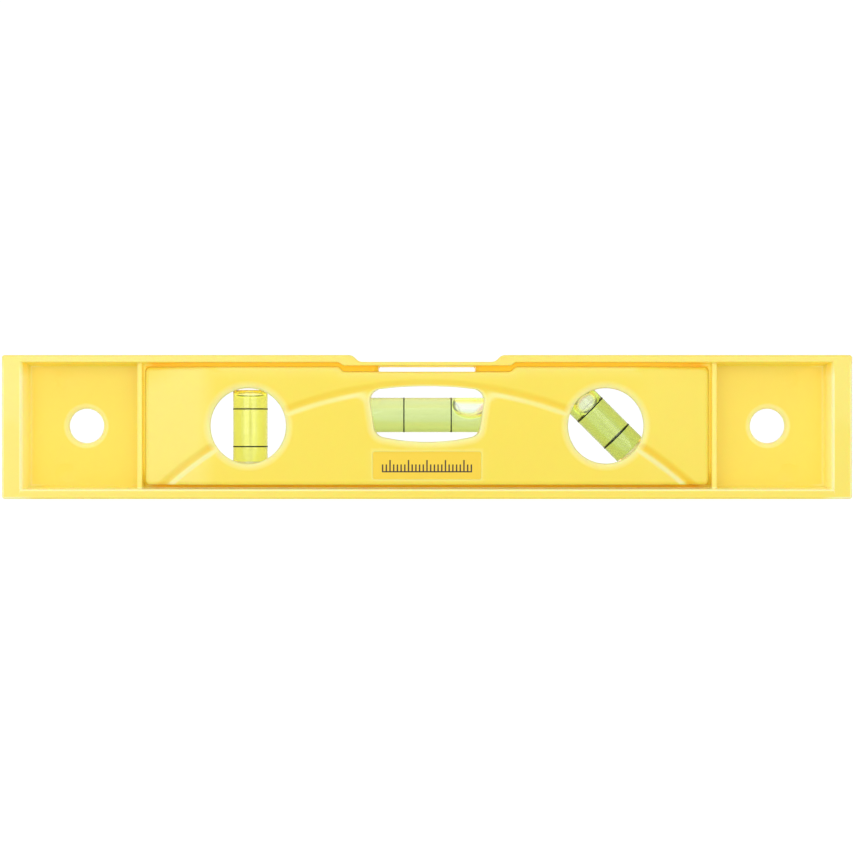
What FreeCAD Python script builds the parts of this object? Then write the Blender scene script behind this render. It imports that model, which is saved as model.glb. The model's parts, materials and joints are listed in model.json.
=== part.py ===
import FreeCAD, Part
import math
import os

import Sketcher

# Plastic torpedo spirit level with a level vial, a plumb vial and a 45 degree vial.
# Frame of reference: X along the level, -Y the front, +Z up, origin under the middle of the base.
# Each vial has its own frame: X along the tube towards its closed end, origin at its middle.

os.makedirs("parts", exist_ok=True)
doc = FreeCAD.newDocument("SpiritLevel")

# ---------------------------------------------------------------- driving dimensions (mm, degrees)

DIMENSIONS = {
    # frame moulding
    "body_length": 230.0,
    "body_depth": 20.0,
    "body_height": 39.0,
    "end_wall": 5.7,
    "top_rail": 1.95,
    "bottom_rail": 2.7,
    "wall_draft": 4.0,
    "web_thickness": 3.0,
    "corner_round": 0.8,
    # ribs that bound the middle bay
    "rib_inner": 77.4,
    "rib_thickness": 1.3,
    "rib_recess": 2.8,
    # reading notch in the top rail, and the slot and window under it
    "notch_depth": 1.85,
    "notch_half_floor": 18.3,
    "notch_half_top": 20.3,
    "thin_rail": 1.0,
    "rail_step_half": 22.6,
    "rail_step_run": 1.4,
    "slot_half": 13.3,
    "reading_half_depth": 5.5,
    # hanging holes
    "hole_x": 93.4,
    "hole_z": 19.8,
    "hole_radius": 4.7,
    "hole_chamfer": 0.8,
    # cover plates
    "cover_half": 76.5,
    "cover_bottom": 3.8,
    "cover_top": 35.8,
    "cover_step": 1.3,
    "cover_sink": 0.4,
    "cover_wall": 1.5,
    "cover_face": 2.2,
    "cover_corner": 1.4,
    "end_curve_start": 56.0,
    "end_curve_drop": 2.3,
    "collar_wall": 1.2,
    "mid_gap": 0.1,
    # round windows
    "window_x": 48.4,
    "window_z": 19.8,
    "window_radius": 10.2,
    "window_bevel": 1.2,
    "sight_flare": 0.9,
    "web_opening_radius": 13.8,
    # arched groove, a ring about a line under the level
    "arch_centre_z": -76.5,
    "arch_inner": 105.3,
    "arch_bottom": 107.2,
    "arch_outer": 109.4,
    "arch_depth": 0.8,
    # middle window
    "middle_half_top": 15.9,
    "middle_half_bottom": 14.0,
    "middle_bottom_z": 16.6,
    "middle_top_radius": 107.1,
    "middle_bottom_radius": 86.0,
    "middle_corner": 2.2,
    "middle_relief": 0.6,
    # label and its recess
    "label_half": 14.8,
    "label_bottom": 5.2,
    "label_top": 12.95,
    "label_recess": 0.35,
    "label_gap": 0.2,
    "label_thickness": 0.15,
    "label_corner": 0.5,
    # pegs of the front cover and their sockets in the rear cover
    "peg_radius": 1.5,
    "peg_fit": 0.03,
    "peg_reach": 5.0,
    "socket_wall": 1.3,
    "peg_outer_x": 68.0,
    "peg_upper_z": 28.5,
    "peg_lower_z": 11.0,
    "peg_inner_x": 31.0,
    # what all vials share
    "vial_radius": 4.75,
    "vial_clearance": 0.05,
    "bore_radius": 3.65,
    "bore_end_radius": 3.55,
    "spirit_film": 0.1,
    "line_width": 0.45,
    "line_depth": 0.15,
    "stop_half": 3.5,
    "stop_thickness": 1.2,
    "slot_clearance": 0.5,
    # level vial
    "level_x": 0.0,
    "level_z": 22.8,
    "level_tilt": 0.0,
    "level_length": 40.0,
    "level_chamber": 17.0,
    "level_line_gap": 12.9,
    "level_line_shift": 0.15,
    "level_bubble_along": 11.8,
    "level_bubble_up": 3.3,
    "level_bubble_length": 5.0,
    "level_bubble_width": 3.3,
    "level_bubble_height": 2.8,
    # plumb vial
    "plumb_x": -48.5,
    "plumb_z": 19.8,
    "plumb_tilt": -90.0,
    "plumb_length": 28.6,
    "plumb_chamber": 9.75,
    "plumb_line_gap": 10.25,
    "plumb_line_shift": -0.5,
    "plumb_bubble_along": 8.6,
    "plumb_bubble_up": 0.0,
    "plumb_bubble_length": 1.05,
    "plumb_bubble_width": 2.7,
    "plumb_bubble_height": 2.7,
    # 45 degree vial
    "angle_x": 48.4,
    "angle_z": 20.6,
    "angle_tilt": 225.0,
    "angle_length": 28.6,
    "angle_chamber": 10.3,
    "angle_line_gap": 10.2,
    "angle_line_shift": 0.0,
    "angle_bubble_along": 7.3,
    "angle_bubble_up": -0.5,
    "angle_bubble_length": 2.9,
    "angle_bubble_width": 3.0,
    "angle_bubble_height": 2.9,
}

sheet = doc.addObject("Spreadsheet::Sheet", "Dims")
for row, (alias, size) in enumerate(DIMENSIONS.items(), start=1):
    sheet.set(f"A{row}", alias)
    sheet.set(f"B{row}", str(size))
    sheet.setAlias(f"B{row}", alias)
doc.recompute()

FRONT = 1
REAR = -1
VIALS = ("level", "plumb", "angle")


def size_of(expression):
    """The number that an expression in the sheet's words gives now."""
    return float(sheet.evalExpression(expression))


# ---------------------------------------------------------------- sketch helpers


def new_sketch(body, name, role, offset="0"):
    """A sketch on one of the body's origin planes, moved along the plane's normal by offset."""
    sketch = body.newObject("Sketcher::SketchObject", name)
    plane = next(item for item in body.Origin.OriginFeatures if item.Role == role)
    sketch.AttachmentSupport = [(plane, "")]
    sketch.MapMode = "FlatFace"
    sketch.setExpression("AttachmentOffset.Base.z", offset)
    return sketch


def bind(sketch, constraint, expression):
    index = sketch.addConstraint(constraint)
    sketch.setExpression(f"Constraints[{index}]", expression)


def fix_point(sketch, geometry, end, x, y):
    """Holds one point of the sketch at x, y, which are expressions."""
    for direction, expression in (("DistanceX", x), ("DistanceY", y)):
        distance = sketch.evalExpression(expression)
        bind(sketch, Sketcher.Constraint(direction, -1, 1, geometry, end, distance), expression)


def add_circle(sketch, x, y, radius):
    centre = FreeCAD.Vector(sketch.evalExpression(x), sketch.evalExpression(y), 0)
    size = sketch.evalExpression(radius)
    circle = sketch.addGeometry(Part.Circle(centre, FreeCAD.Vector(0, 0, 1), size))
    fix_point(sketch, circle, 3, x, y)
    bind(sketch, Sketcher.Constraint("Radius", circle, size), radius)


def arc_between(start, end, radius):
    """The arc from start to end: a positive radius turns left on the way, a negative one right."""
    chord = end - start
    left = FreeCAD.Vector(-chord.y, chord.x, 0).normalize()
    height = math.sqrt(radius**2 - (chord.Length / 2) ** 2)
    centre = (start + end) / 2 + left * math.copysign(height, radius)
    circle = Part.Circle(centre, FreeCAD.Vector(0, 0, 1), abs(radius))
    first, last = (start, end) if radius > 0 else (end, start)
    angles = [math.atan2(point.y - centre.y, point.x - centre.x) for point in (first, last)]
    return Part.ArcOfCircle(circle, *angles)


def add_outline(sketch, corners):
    """A closed outline. A corner is (x, y), or (x, y, radius) where an arc leads to the next corner."""
    points = [FreeCAD.Vector(*(sketch.evalExpression(e) for e in corner[:2]), 0) for corner in corners]
    ends = []
    for number, corner in enumerate(corners):
        start = points[number]
        end = points[(number + 1) % len(points)]
        if len(corner) == 2:
            edge = sketch.addGeometry(Part.LineSegment(start, end))
            ends.append((edge, 1, 2))
            continue
        radius = sketch.evalExpression(corner[2])
        edge = sketch.addGeometry(arc_between(start, end, radius))
        ends.append((edge, 1, 2) if radius > 0 else (edge, 2, 1))
        bind(sketch, Sketcher.Constraint("Radius", edge, abs(radius)), f"abs({corner[2]})")
    for number, corner in enumerate(corners):
        edge, start_end, _ = ends[number]
        before, _, last_end = ends[number - 1]
        sketch.addConstraint(Sketcher.Constraint("Coincident", before, last_end, edge, start_end))
        fix_point(sketch, edge, start_end, *corner[:2])


def add_box(sketch, left, right, bottom, top):
    add_outline(sketch, [(left, bottom), (right, bottom), (right, top), (left, top)])


def add_turned_box(sketch, vial, low, high, half):
    """A rectangle in a vial's frame: from low to high along the tube, half to each side of its axis."""
    cos = f"cos(Dims.{vial}_tilt * 1 deg)"
    sin = f"sin(Dims.{vial}_tilt * 1 deg)"
    corners = []
    for along, up in ((low, f"-({half})"), (high, f"-({half})"), (high, half), (low, half)):
        x = f"Dims.{vial}_x + {cos} * ({along}) + {sin} * ({up})"
        z = f"Dims.{vial}_z - {sin} * ({along}) + {cos} * ({up})"
        corners.append((x, z))
    add_outline(sketch, corners)


# ---------------------------------------------------------------- feature helpers


def new_body(name):
    body = doc.addObject("PartDesign::Body", name)
    body.Label = name
    return body


def extrude(body, kind, name, sketch, length, away=False, both_ways=False, taper="0"):
    """A Pad or Pocket. away turns it against the sketch's normal, both_ways splits the length."""
    feature = body.newObject(f"PartDesign::{kind}", name)
    feature.Profile = sketch
    feature.setExpression("Length", length)
    feature.SideType = "Symmetric" if both_ways else "One side"
    feature.Reversed = away
    if taper != "0":
        feature.setExpression("TaperAngle", taper)
    doc.recompute()
    return feature


def revolve(body, kind, name, sketch, axis):
    feature = body.newObject(f"PartDesign::{kind}", name)
    feature.Profile = sketch
    feature.ReferenceAxis = (sketch, [axis])
    feature.Angle = 360
    doc.recompute()
    return feature


def mirror(body, name, originals, role):
    plane = next(item for item in body.Origin.OriginFeatures if item.Role == role)
    feature = body.newObject("PartDesign::Mirrored", name)
    feature.Originals = originals
    feature.MirrorPlane = (plane, [""])
    body.Tip = feature
    doc.recompute()
    return feature


def edge_names(feature, wanted):
    """Names of the feature's edges whose bounding box passes the test."""
    edges = enumerate(feature.Shape.Edges, start=1)
    return [f"Edge{number}" for number, edge in edges if wanted(edge.BoundBox)]


def dress(body, kind, name, base, wanted, setting, size):
    """A Fillet or Chamfer on the edges of base that pass the test."""
    names = edge_names(base, wanted)
    if not names:
        raise RuntimeError(f"{name}: no edge passes its test")
    feature = body.newObject(f"PartDesign::{kind}", name)
    feature.Base = (base, names)
    feature.setExpression(setting, size)
    doc.recompute()
    return feature


def near(a, b, tolerance=0.01):
    return abs(a - b) < tolerance


# ---------------------------------------------------------------- frame moulding


def build_frame():
    body = new_body("frame_body")
    half = "Dims.body_length / 2"
    height = "Dims.body_height"
    notch_z = "Dims.body_height - Dims.notch_depth"

    blank = new_sketch(body, "FrameOutline", "XZ_Plane")
    add_outline(blank, [
        (f"-{half}", "0"),
        (half, "0"),
        (half, height),
        ("Dims.notch_half_top", height),
        ("Dims.notch_half_floor", notch_z),
        ("-Dims.notch_half_floor", notch_z),
        ("-Dims.notch_half_top", height),
        (f"-{half}", height),
    ])
    block = extrude(body, "Pad", "FrameBlock", blank, "Dims.body_depth", both_ways=True)

    end_x = size_of("Dims.body_length / 2")
    dress(body, "Fillet", "EndCorners", block, lambda box: near(abs(box.Center.x), end_x) and box.YLength > 10,
          "Radius", "Dims.corner_round")

    # the bay on each side: its roof steps down under the reading notch
    inner = "Dims.body_length / 2 - Dims.end_wall"
    roof = "Dims.body_height - Dims.top_rail"
    low_roof = f"{notch_z} - Dims.thin_rail"
    step_end = "Dims.rail_step_half + Dims.rail_step_run"
    bay = new_sketch(body, "BayOutline", "XZ_Plane", "Dims.body_depth / 2")
    add_outline(bay, [
        (f"-({inner})", "Dims.bottom_rail"),
        (inner, "Dims.bottom_rail"),
        (inner, roof),
        (step_end, roof),
        ("Dims.rail_step_half", low_roof),
        ("-Dims.rail_step_half", low_roof),
        (f"-({step_end})", roof),
        (f"-({inner})", roof),
    ])
    bay_depth = "(Dims.body_depth - Dims.web_thickness) / 2"
    front_bay = extrude(body, "Pocket", "FrontBay", bay, bay_depth, taper="-Dims.wall_draft")
    mirror(body, "RearBay", [front_bay], "XZ_Plane")

    ribs = new_sketch(body, "RibOutlines", "XZ_Plane")
    rib_outer = "Dims.rib_inner + Dims.rib_thickness"
    rib_low = "Dims.bottom_rail / 2"
    rib_high = "Dims.body_height - Dims.top_rail / 2"
    add_box(ribs, "Dims.rib_inner", rib_outer, rib_low, rib_high)
    add_box(ribs, f"-({rib_outer})", "-Dims.rib_inner", rib_low, rib_high)
    extrude(body, "Pad", "Ribs", ribs, "Dims.body_depth - 2 * Dims.rib_recess", both_ways=True)

    cut_web_openings(body)

    # reading window down through the thin rail over the level vial
    reading = new_sketch(body, "ReadingWindow", "XY_Plane", height)
    add_box(reading, "-Dims.slot_half", "Dims.slot_half", "-Dims.reading_half_depth", "Dims.reading_half_depth")
    extrude(body, "Pocket", "ReadingCut", reading, "Dims.notch_depth + 2 * Dims.thin_rail")

    holes = new_sketch(body, "HangingHoles", "XZ_Plane")
    add_circle(holes, "Dims.hole_x", "Dims.hole_z", "Dims.hole_radius")
    add_circle(holes, "-Dims.hole_x", "Dims.hole_z", "Dims.hole_radius")
    bored = extrude(body, "Pocket", "HoleCuts", holes, "Dims.body_depth", both_ways=True)
    hole_x = size_of("Dims.hole_x")
    width = size_of("2 * Dims.hole_radius")
    dress(body, "Chamfer", "HoleRims", bored,
          lambda box: near(abs(box.Center.x), hole_x) and near(box.XLength, width) and near(box.YLength, 0),
          "Size", "Dims.hole_chamfer")
    return body


def cut_web_openings(body):
    """Openings through the web for the windows, the vials, the see-through slot and the pegs."""
    through = "Dims.body_depth"
    low_roof = "Dims.body_height - Dims.notch_depth - Dims.thin_rail"

    rounds = new_sketch(body, "RoundOpenings", "XZ_Plane")
    add_circle(rounds, "Dims.window_x", "Dims.window_z", "Dims.web_opening_radius")
    add_circle(rounds, "-Dims.window_x", "Dims.window_z", "Dims.web_opening_radius")
    extrude(body, "Pocket", "RoundCuts", rounds, through, both_ways=True)

    middle = new_sketch(body, "MiddleOpening", "XZ_Plane")
    half = "Dims.middle_half_top + Dims.middle_relief + Dims.collar_wall + Dims.slot_clearance"
    bottom = "Dims.label_top"
    shoulder = "Dims.cover_top - Dims.cover_step - Dims.cover_wall"
    add_outline(middle, [
        (f"-({half})", bottom),
        (half, bottom),
        (half, shoulder),
        ("Dims.slot_half", shoulder),
        ("Dims.slot_half", low_roof),
        ("-Dims.slot_half", low_roof),
        ("-Dims.slot_half", shoulder),
        (f"-({half})", shoulder),
    ])
    extrude(body, "Pocket", "MiddleCut", middle, through, both_ways=True)

    for vial in VIALS:
        slot = new_sketch(body, f"{vial.title()}Slot", "XZ_Plane")
        half_length = f"Dims.{vial}_length / 2 + Dims.mid_gap"
        half_width = "Dims.vial_radius + Dims.slot_clearance"
        add_turned_box(slot, vial, f"-({half_length})", half_length, half_width)
        extrude(body, "Pocket", f"{vial.title()}SlotCut", slot, through, both_ways=True)

    pegs = new_sketch(body, "PegHoles", "XZ_Plane")
    for _, places, _ in peg_groups():
        for x, z in places:
            add_circle(pegs, x, z, "Dims.peg_radius + Dims.socket_wall + Dims.slot_clearance")
    extrude(body, "Pocket", "PegCuts", pegs, through, both_ways=True)


def peg_groups():
    """Where the covers peg together: name, places, and how far from mid-level the pegs are rooted."""
    face = "Dims.body_depth / 2 - Dims.cover_sink - Dims.cover_face / 2"
    outer = []
    inner = []
    for sign in ("", "-"):
        outer.append((f"{sign}Dims.peg_outer_x", "Dims.peg_upper_z"))
        outer.append((f"{sign}Dims.peg_outer_x", "Dims.peg_lower_z"))
        inner.append((f"{sign}Dims.peg_inner_x", "Dims.peg_lower_z"))
    return (("Outer", outer, f"{face} - Dims.end_curve_drop"), ("Inner", inner, face))


# ---------------------------------------------------------------- cover plates


def step_outline(inset):
    """The cover's outline, moved inwards by inset. Its top steps down under the reading notch."""
    half = f"Dims.cover_half - {inset}"
    bottom = f"Dims.cover_bottom + {inset}"
    top = f"Dims.cover_top - {inset}"
    low_top = f"{top} - Dims.cover_step"
    step_start = f"Dims.rail_step_half - {inset}"
    step_end = f"{step_start} + Dims.rail_step_run"
    return [
        (f"-({half})", bottom),
        (half, bottom),
        (half, top),
        (step_end, top),
        (step_start, low_top),
        (f"-({step_start})", low_top),
        (f"-({step_end})", top),
        (f"-({half})", top),
    ]


def middle_outline(grow):
    """The middle window's outline, grown by grow: arched top and bottom, sides leaning outwards."""
    half_top = f"Dims.middle_half_top + {grow}"
    half_bottom = f"Dims.middle_half_bottom + {grow}"
    bottom = f"Dims.middle_bottom_z - {grow}"
    top_radius = f"Dims.middle_top_radius + {grow}"
    bottom_radius = f"Dims.middle_bottom_radius + {grow}"
    top = f"Dims.arch_centre_z + sqrt(({top_radius})^2 - ({half_top})^2)"
    return [
        (f"-({half_bottom})", bottom, bottom_radius),
        (half_bottom, bottom),
        (half_top, top, top_radius),
        (f"-({half_top})", top),
    ]


def build_cover(name, side):
    """side is FRONT or REAR. The cover stands on the web and its face looks away from it."""
    body = new_body(name)
    away = side == REAR
    web = f"{side} * Dims.web_thickness / 2"
    middle_plane = f"{side} * Dims.mid_gap"
    face = f"{side} * (Dims.body_depth / 2 - Dims.cover_sink)"
    full = "Dims.body_depth / 2 - Dims.cover_sink - Dims.web_thickness / 2"

    plate = new_sketch(body, "PlateOutline", "XZ_Plane", web)
    add_outline(plate, step_outline("0"))
    block = extrude(body, "Pad", "PlateBlock", plate, full, away=away)
    end_x = size_of("Dims.cover_half")
    dress(body, "Fillet", "PlateCorners", block, lambda box: near(abs(box.Center.x), end_x) and box.YLength > 5,
          "Radius", "Dims.cover_corner")

    hollow_cover(body, side, web, away)
    add_collars(body, side, middle_plane, away)
    curve_ends(body, side)
    cut_arch(body, side)
    cut_windows(body, side, face, away)
    cut_vial_seats(body)
    open_reading_window(body)
    if side == FRONT:
        add_pegs(body)
    else:
        add_sockets(body, middle_plane)
    recess = new_sketch(body, "LabelRecess", "XZ_Plane", face)
    add_box(recess, "-Dims.label_half", "Dims.label_half", "Dims.label_bottom", "Dims.label_top")
    extrude(body, "Pocket", "LabelCut", recess, "Dims.label_recess", away=away)
    return body


def hollow_cover(body, side, web, away):
    """Hollows the plate from behind: deep in the middle, shallower where the face curves down."""
    cavity = new_sketch(body, "CavityOutline", "XZ_Plane", web)
    add_outline(cavity, step_outline("Dims.cover_wall"))
    depth = "Dims.body_depth / 2 - Dims.cover_sink - Dims.web_thickness / 2 - Dims.cover_face"
    extrude(body, "Pocket", "EndCavity", cavity, f"{depth} - Dims.end_curve_drop", away=not away)

    deep = new_sketch(body, "DeepOutline", "XZ_Plane", web)
    low = "Dims.cover_bottom + Dims.cover_wall"
    high = "Dims.cover_top - Dims.cover_wall - Dims.cover_step"
    add_box(deep, "-Dims.end_curve_start", "Dims.end_curve_start", low, high)
    extrude(body, "Pocket", "MiddleCavity", deep, depth, away=not away)


def add_collars(body, side, middle_plane, away):
    """Solid bosses round each window, which the windows then turn into collars, and the vial stops."""
    reach = "Dims.body_depth / 2 - Dims.cover_sink - Dims.cover_face / 2 - Dims.mid_gap"
    flare = "2 * Dims.sight_flare" if side == REAR else "Dims.sight_flare"
    collars = new_sketch(body, "RoundCollars", "XZ_Plane", middle_plane)
    radius = f"Dims.window_radius + {flare} + Dims.collar_wall"
    add_circle(collars, "Dims.window_x", "Dims.window_z", radius)
    add_circle(collars, "-Dims.window_x", "Dims.window_z", radius)
    extrude(body, "Pad", "RoundBosses", collars, reach, away=away)

    relief = "Dims.middle_relief + Dims.collar_wall" if side == REAR else "Dims.collar_wall"
    middle = new_sketch(body, "MiddleCollar", "XZ_Plane", middle_plane)
    add_outline(middle, middle_outline(relief))
    extrude(body, "Pad", "MiddleBoss", middle, reach, away=away)

    for vial in ("level", "angle"):
        near_end = f"Dims.{vial}_length / 2 + Dims.mid_gap"
        far_end = f"{near_end} + Dims.stop_thickness"
        stops = new_sketch(body, f"{vial.title()}Stops", "XZ_Plane", f"{side} * Dims.web_thickness / 2")
        add_turned_box(stops, vial, near_end, far_end, "Dims.stop_half")
        add_turned_box(stops, vial, f"-({far_end})", f"-({near_end})", "Dims.stop_half")
        extrude(body, "Pad", f"{vial.title()}StopRibs", stops, f"{reach} - Dims.web_thickness / 2", away=away)


def curve_ends(body, side):
    """Curves the face down towards both ends, on a circle tangent to its flat middle."""
    face = f"{-side} * (Dims.body_depth / 2 - Dims.cover_sink)"
    outside = f"{-side} * (Dims.body_depth / 2 + Dims.cover_sink)"
    run = "(Dims.cover_half + Dims.cover_sink - Dims.end_curve_start)"
    radius = f"({run}^2 + Dims.end_curve_drop^2) / (2 * Dims.end_curve_drop)"
    end = "Dims.cover_half + Dims.cover_sink"
    low = f"{face} + {side} * Dims.end_curve_drop"
    turn = "" if side == FRONT else "-"
    profile = new_sketch(body, "EndCurve", "XY_Plane")
    add_outline(profile, [
        ("Dims.end_curve_start", face, f"{turn}({radius})"),
        (end, low),
        (end, outside),
        ("Dims.end_curve_start", outside),
    ])
    cut = extrude(body, "Pocket", "EndCurveCut", profile, "Dims.body_height", away=True)
    mirror(body, "OtherEndCurve", [cut], "YZ_Plane")


def cut_arch(body, side):
    """The arched groove, a shallow valley with sloping sides."""
    surface = f"{-side} * (Dims.body_depth / 2 - Dims.cover_sink)"
    bottom = f"{-side} * (Dims.body_depth / 2 - Dims.cover_sink - Dims.arch_depth)"
    outside = f"{-side} * (Dims.body_depth / 2)"
    profile = new_sketch(body, "ArchProfile", "YZ_Plane")
    add_outline(profile, [
        (outside, "Dims.arch_centre_z + Dims.arch_inner"),
        (surface, "Dims.arch_centre_z + Dims.arch_inner"),
        (bottom, "Dims.arch_centre_z + Dims.arch_bottom"),
        (surface, "Dims.arch_centre_z + Dims.arch_outer"),
        (outside, "Dims.arch_centre_z + Dims.arch_outer"),
    ])
    centre_z = size_of("Dims.arch_centre_z")
    start = FreeCAD.Vector(0, centre_z, 0)
    axis = profile.addGeometry(Part.LineSegment(start, start + FreeCAD.Vector(1, 0, 0)), True)
    fix_point(profile, axis, 1, "0", "Dims.arch_centre_z")
    fix_point(profile, axis, 2, "1", "Dims.arch_centre_z")
    revolve(body, "Groove", "ArchGroove", profile, "Axis0")


def cut_windows(body, side, face, away):
    """Round windows flare along the line of sight. All windows have a bevelled front edge."""
    through = "Dims.body_depth / 2"
    flare_angle = "atan(Dims.sight_flare / (Dims.body_depth / 2))"
    front_radius = "Dims.window_radius"
    taper = f"-{flare_angle}"
    if side == REAR:
        front_radius = "Dims.window_radius + 2 * Dims.sight_flare"
        taper = flare_angle
    rounds = new_sketch(body, "RoundWindows", "XZ_Plane", face)
    bevels = new_sketch(body, "RoundBevels", "XZ_Plane", face)
    for x in ("Dims.window_x", "-Dims.window_x"):
        add_circle(rounds, x, "Dims.window_z", front_radius)
        add_circle(bevels, x, "Dims.window_z", f"{front_radius} + Dims.window_bevel")
    extrude(body, "Pocket", "RoundWindowCuts", rounds, through, away=away, taper=taper)
    extrude(body, "Pocket", "RoundBevelCuts", bevels, "Dims.window_bevel", away=away, taper="45")

    relief = "Dims.middle_relief" if side == REAR else "0"
    middle = new_sketch(body, "MiddleWindow", "XZ_Plane", face)
    add_outline(middle, middle_outline(relief))
    cut = extrude(body, "Pocket", "MiddleWindowCut", middle, through, away=away)
    half_top = size_of(f"Dims.middle_half_top + {relief}")
    half_bottom = size_of(f"Dims.middle_half_bottom + {relief}")
    dress(body, "Fillet", "MiddleWindowCorners", cut,
          lambda box: box.XLength < 0.01 and box.YLength > 1 and (
              near(abs(box.Center.x), half_top) or near(abs(box.Center.x), half_bottom)),
          "Radius", "Dims.middle_corner")


def cut_vial_seats(body):
    """Each vial lies in round-bottomed seats where it crosses the collars."""
    for vial in VIALS:
        seat = body.newObject("PartDesign::SubtractiveCylinder", f"{vial.title()}Seat")
        seat.setExpression("Radius", "Dims.vial_radius + Dims.vial_clearance")
        seat.setExpression("Height", f"Dims.{vial}_length + 2 * Dims.mid_gap")
        place_along_tube(seat, vial, f"-(Dims.{vial}_length / 2 + Dims.mid_gap)")
        doc.recompute()


def open_reading_window(body):
    """Opens the top wall and the middle collar under the frame's reading window, down to the vial."""
    opening = new_sketch(body, "ReadingOpening", "XY_Plane", "Dims.body_height")
    add_box(opening, "-Dims.slot_half", "Dims.slot_half", "-Dims.reading_half_depth", "Dims.reading_half_depth")
    extrude(body, "Pocket", "ReadingOpeningCut", opening, "Dims.body_height - Dims.level_z")


def add_pegs(body):
    for name, places, root in peg_groups():
        pegs = new_sketch(body, f"{name}PegOutlines", "XZ_Plane", "-Dims.peg_reach")
        for x, z in places:
            add_circle(pegs, x, z, "Dims.peg_radius")
        extrude(body, "Pad", f"{name}Pegs", pegs, f"Dims.peg_reach + {root}")


def add_sockets(body, middle_plane):
    """Hollow bosses on the rear cover that the pegs press into."""
    for name, places, root in peg_groups():
        bosses = new_sketch(body, f"{name}SocketBosses", "XZ_Plane", middle_plane)
        bores = new_sketch(body, f"{name}SocketBores", "XZ_Plane", middle_plane)
        for x, z in places:
            add_circle(bosses, x, z, "Dims.peg_radius + Dims.socket_wall")
            add_circle(bores, x, z, "Dims.peg_radius + Dims.peg_fit")
        extrude(body, "Pad", f"{name}Sockets", bosses, f"{root} - Dims.mid_gap", away=True)
        extrude(body, "Pocket", f"{name}SocketCuts", bores, "Dims.peg_reach + Dims.mid_gap")


# ---------------------------------------------------------------- label


def build_label():
    body = new_body("front_label")
    floor = "Dims.body_depth / 2 - Dims.cover_sink - Dims.label_recess"
    outline = new_sketch(body, "LabelOutline", "XZ_Plane", floor)
    half = "Dims.label_half - Dims.label_gap"
    add_box(outline, f"-({half})", half, "Dims.label_bottom + Dims.label_gap", "Dims.label_top - Dims.label_gap")
    plate = extrude(body, "Pad", "LabelPlate", outline, "Dims.label_thickness")
    thickness = size_of("Dims.label_thickness")
    dress(body, "Fillet", "LabelCorners", plate,
          lambda box: near(box.XLength, 0) and near(box.ZLength, 0) and near(box.YLength, thickness),
          "Radius", "Dims.label_corner")
    return body


# ---------------------------------------------------------------- vials


def place_in_vial(item, vial, along="0", up="0", turn="0"):
    """Puts an object in a vial's frame, along the tube and up across it, turned by turn degrees."""
    tilt = f"Dims.{vial}_tilt * 1 deg"
    item.Placement = FreeCAD.Placement(FreeCAD.Vector(), FreeCAD.Rotation(FreeCAD.Vector(0, 1, 0), 1))
    item.setExpression("Placement.Base.x", f"Dims.{vial}_x + cos({tilt}) * ({along}) + sin({tilt}) * ({up})")
    item.setExpression("Placement.Base.z", f"Dims.{vial}_z - sin({tilt}) * ({along}) + cos({tilt}) * ({up})")
    item.setExpression("Placement.Rotation.Angle", f"{tilt} + {turn} * 1 deg")


def place_along_tube(item, vial, along="0"):
    """The same for a cylinder, whose own axis is Z: a quarter turn lays it along the tube."""
    place_in_vial(item, vial, along, "0", "90")


def chamber_arc(vial):
    """Radius of the bore's long profile, which is widest in the middle so that the bubble centres."""
    rise = "(Dims.bore_radius - Dims.bore_end_radius)"
    return f"(Dims.{vial}_chamber^2 + {rise}^2) / (2 * {rise})"


def line_centres(vial):
    half_gap = f"Dims.{vial}_line_gap / 2"
    shift = f"Dims.{vial}_line_shift"
    return (f"{shift} - {half_gap}", f"{shift} + {half_gap}")


def build_tube(vial):
    """Acrylic tube, closed at +X, with a crowned bore and two shallow grooves for the marker lines."""
    body = new_body(f"{vial}_vial_tube")
    half = f"Dims.{vial}_length / 2"
    chamber = f"Dims.{vial}_chamber"
    outer = "Dims.vial_radius"
    groove = "Dims.vial_radius - Dims.line_depth"
    corners = [(f"-{half}", "Dims.bore_end_radius"), (f"-{half}", outer)]
    for centre in line_centres(vial):
        low = f"{centre} - Dims.line_width / 2"
        high = f"{centre} + Dims.line_width / 2"
        corners += [(low, outer), (low, groove), (high, groove), (high, outer)]
    corners += [
        (half, outer),
        (half, "0"),
        (chamber, "0"),
        (chamber, "Dims.bore_end_radius", chamber_arc(vial)),
        (f"-{chamber}", "Dims.bore_end_radius"),
    ]
    profile = new_sketch(body, "TubeProfile", "XZ_Plane")
    add_outline(profile, corners)
    revolve(body, "Revolution", "Tube", profile, "H_Axis")
    place_in_vial(body, vial)
    return body


def build_plug(vial):
    """Plug sealed into the open end of the tube."""
    body = new_body(f"{vial}_vial_plug")
    profile = new_sketch(body, "PlugProfile", "XZ_Plane")
    add_box(profile, f"-Dims.{vial}_length / 2", f"-Dims.{vial}_chamber", "0", "Dims.bore_end_radius")
    revolve(body, "Revolution", "Plug", profile, "H_Axis")
    place_in_vial(body, vial)
    return body


def build_lines(vial):
    """The two marker rings set into the tube's grooves."""
    body = new_body(f"{vial}_vial_lines")
    profile = new_sketch(body, "RingProfiles", "XZ_Plane")
    for centre in line_centres(vial):
        low = f"{centre} - Dims.line_width / 2"
        high = f"{centre} + Dims.line_width / 2"
        add_box(profile, low, high, "Dims.vial_radius - Dims.line_depth", "Dims.vial_radius")
    revolve(body, "Revolution", "Rings", profile, "H_Axis")
    place_in_vial(body, vial)
    return body


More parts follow.
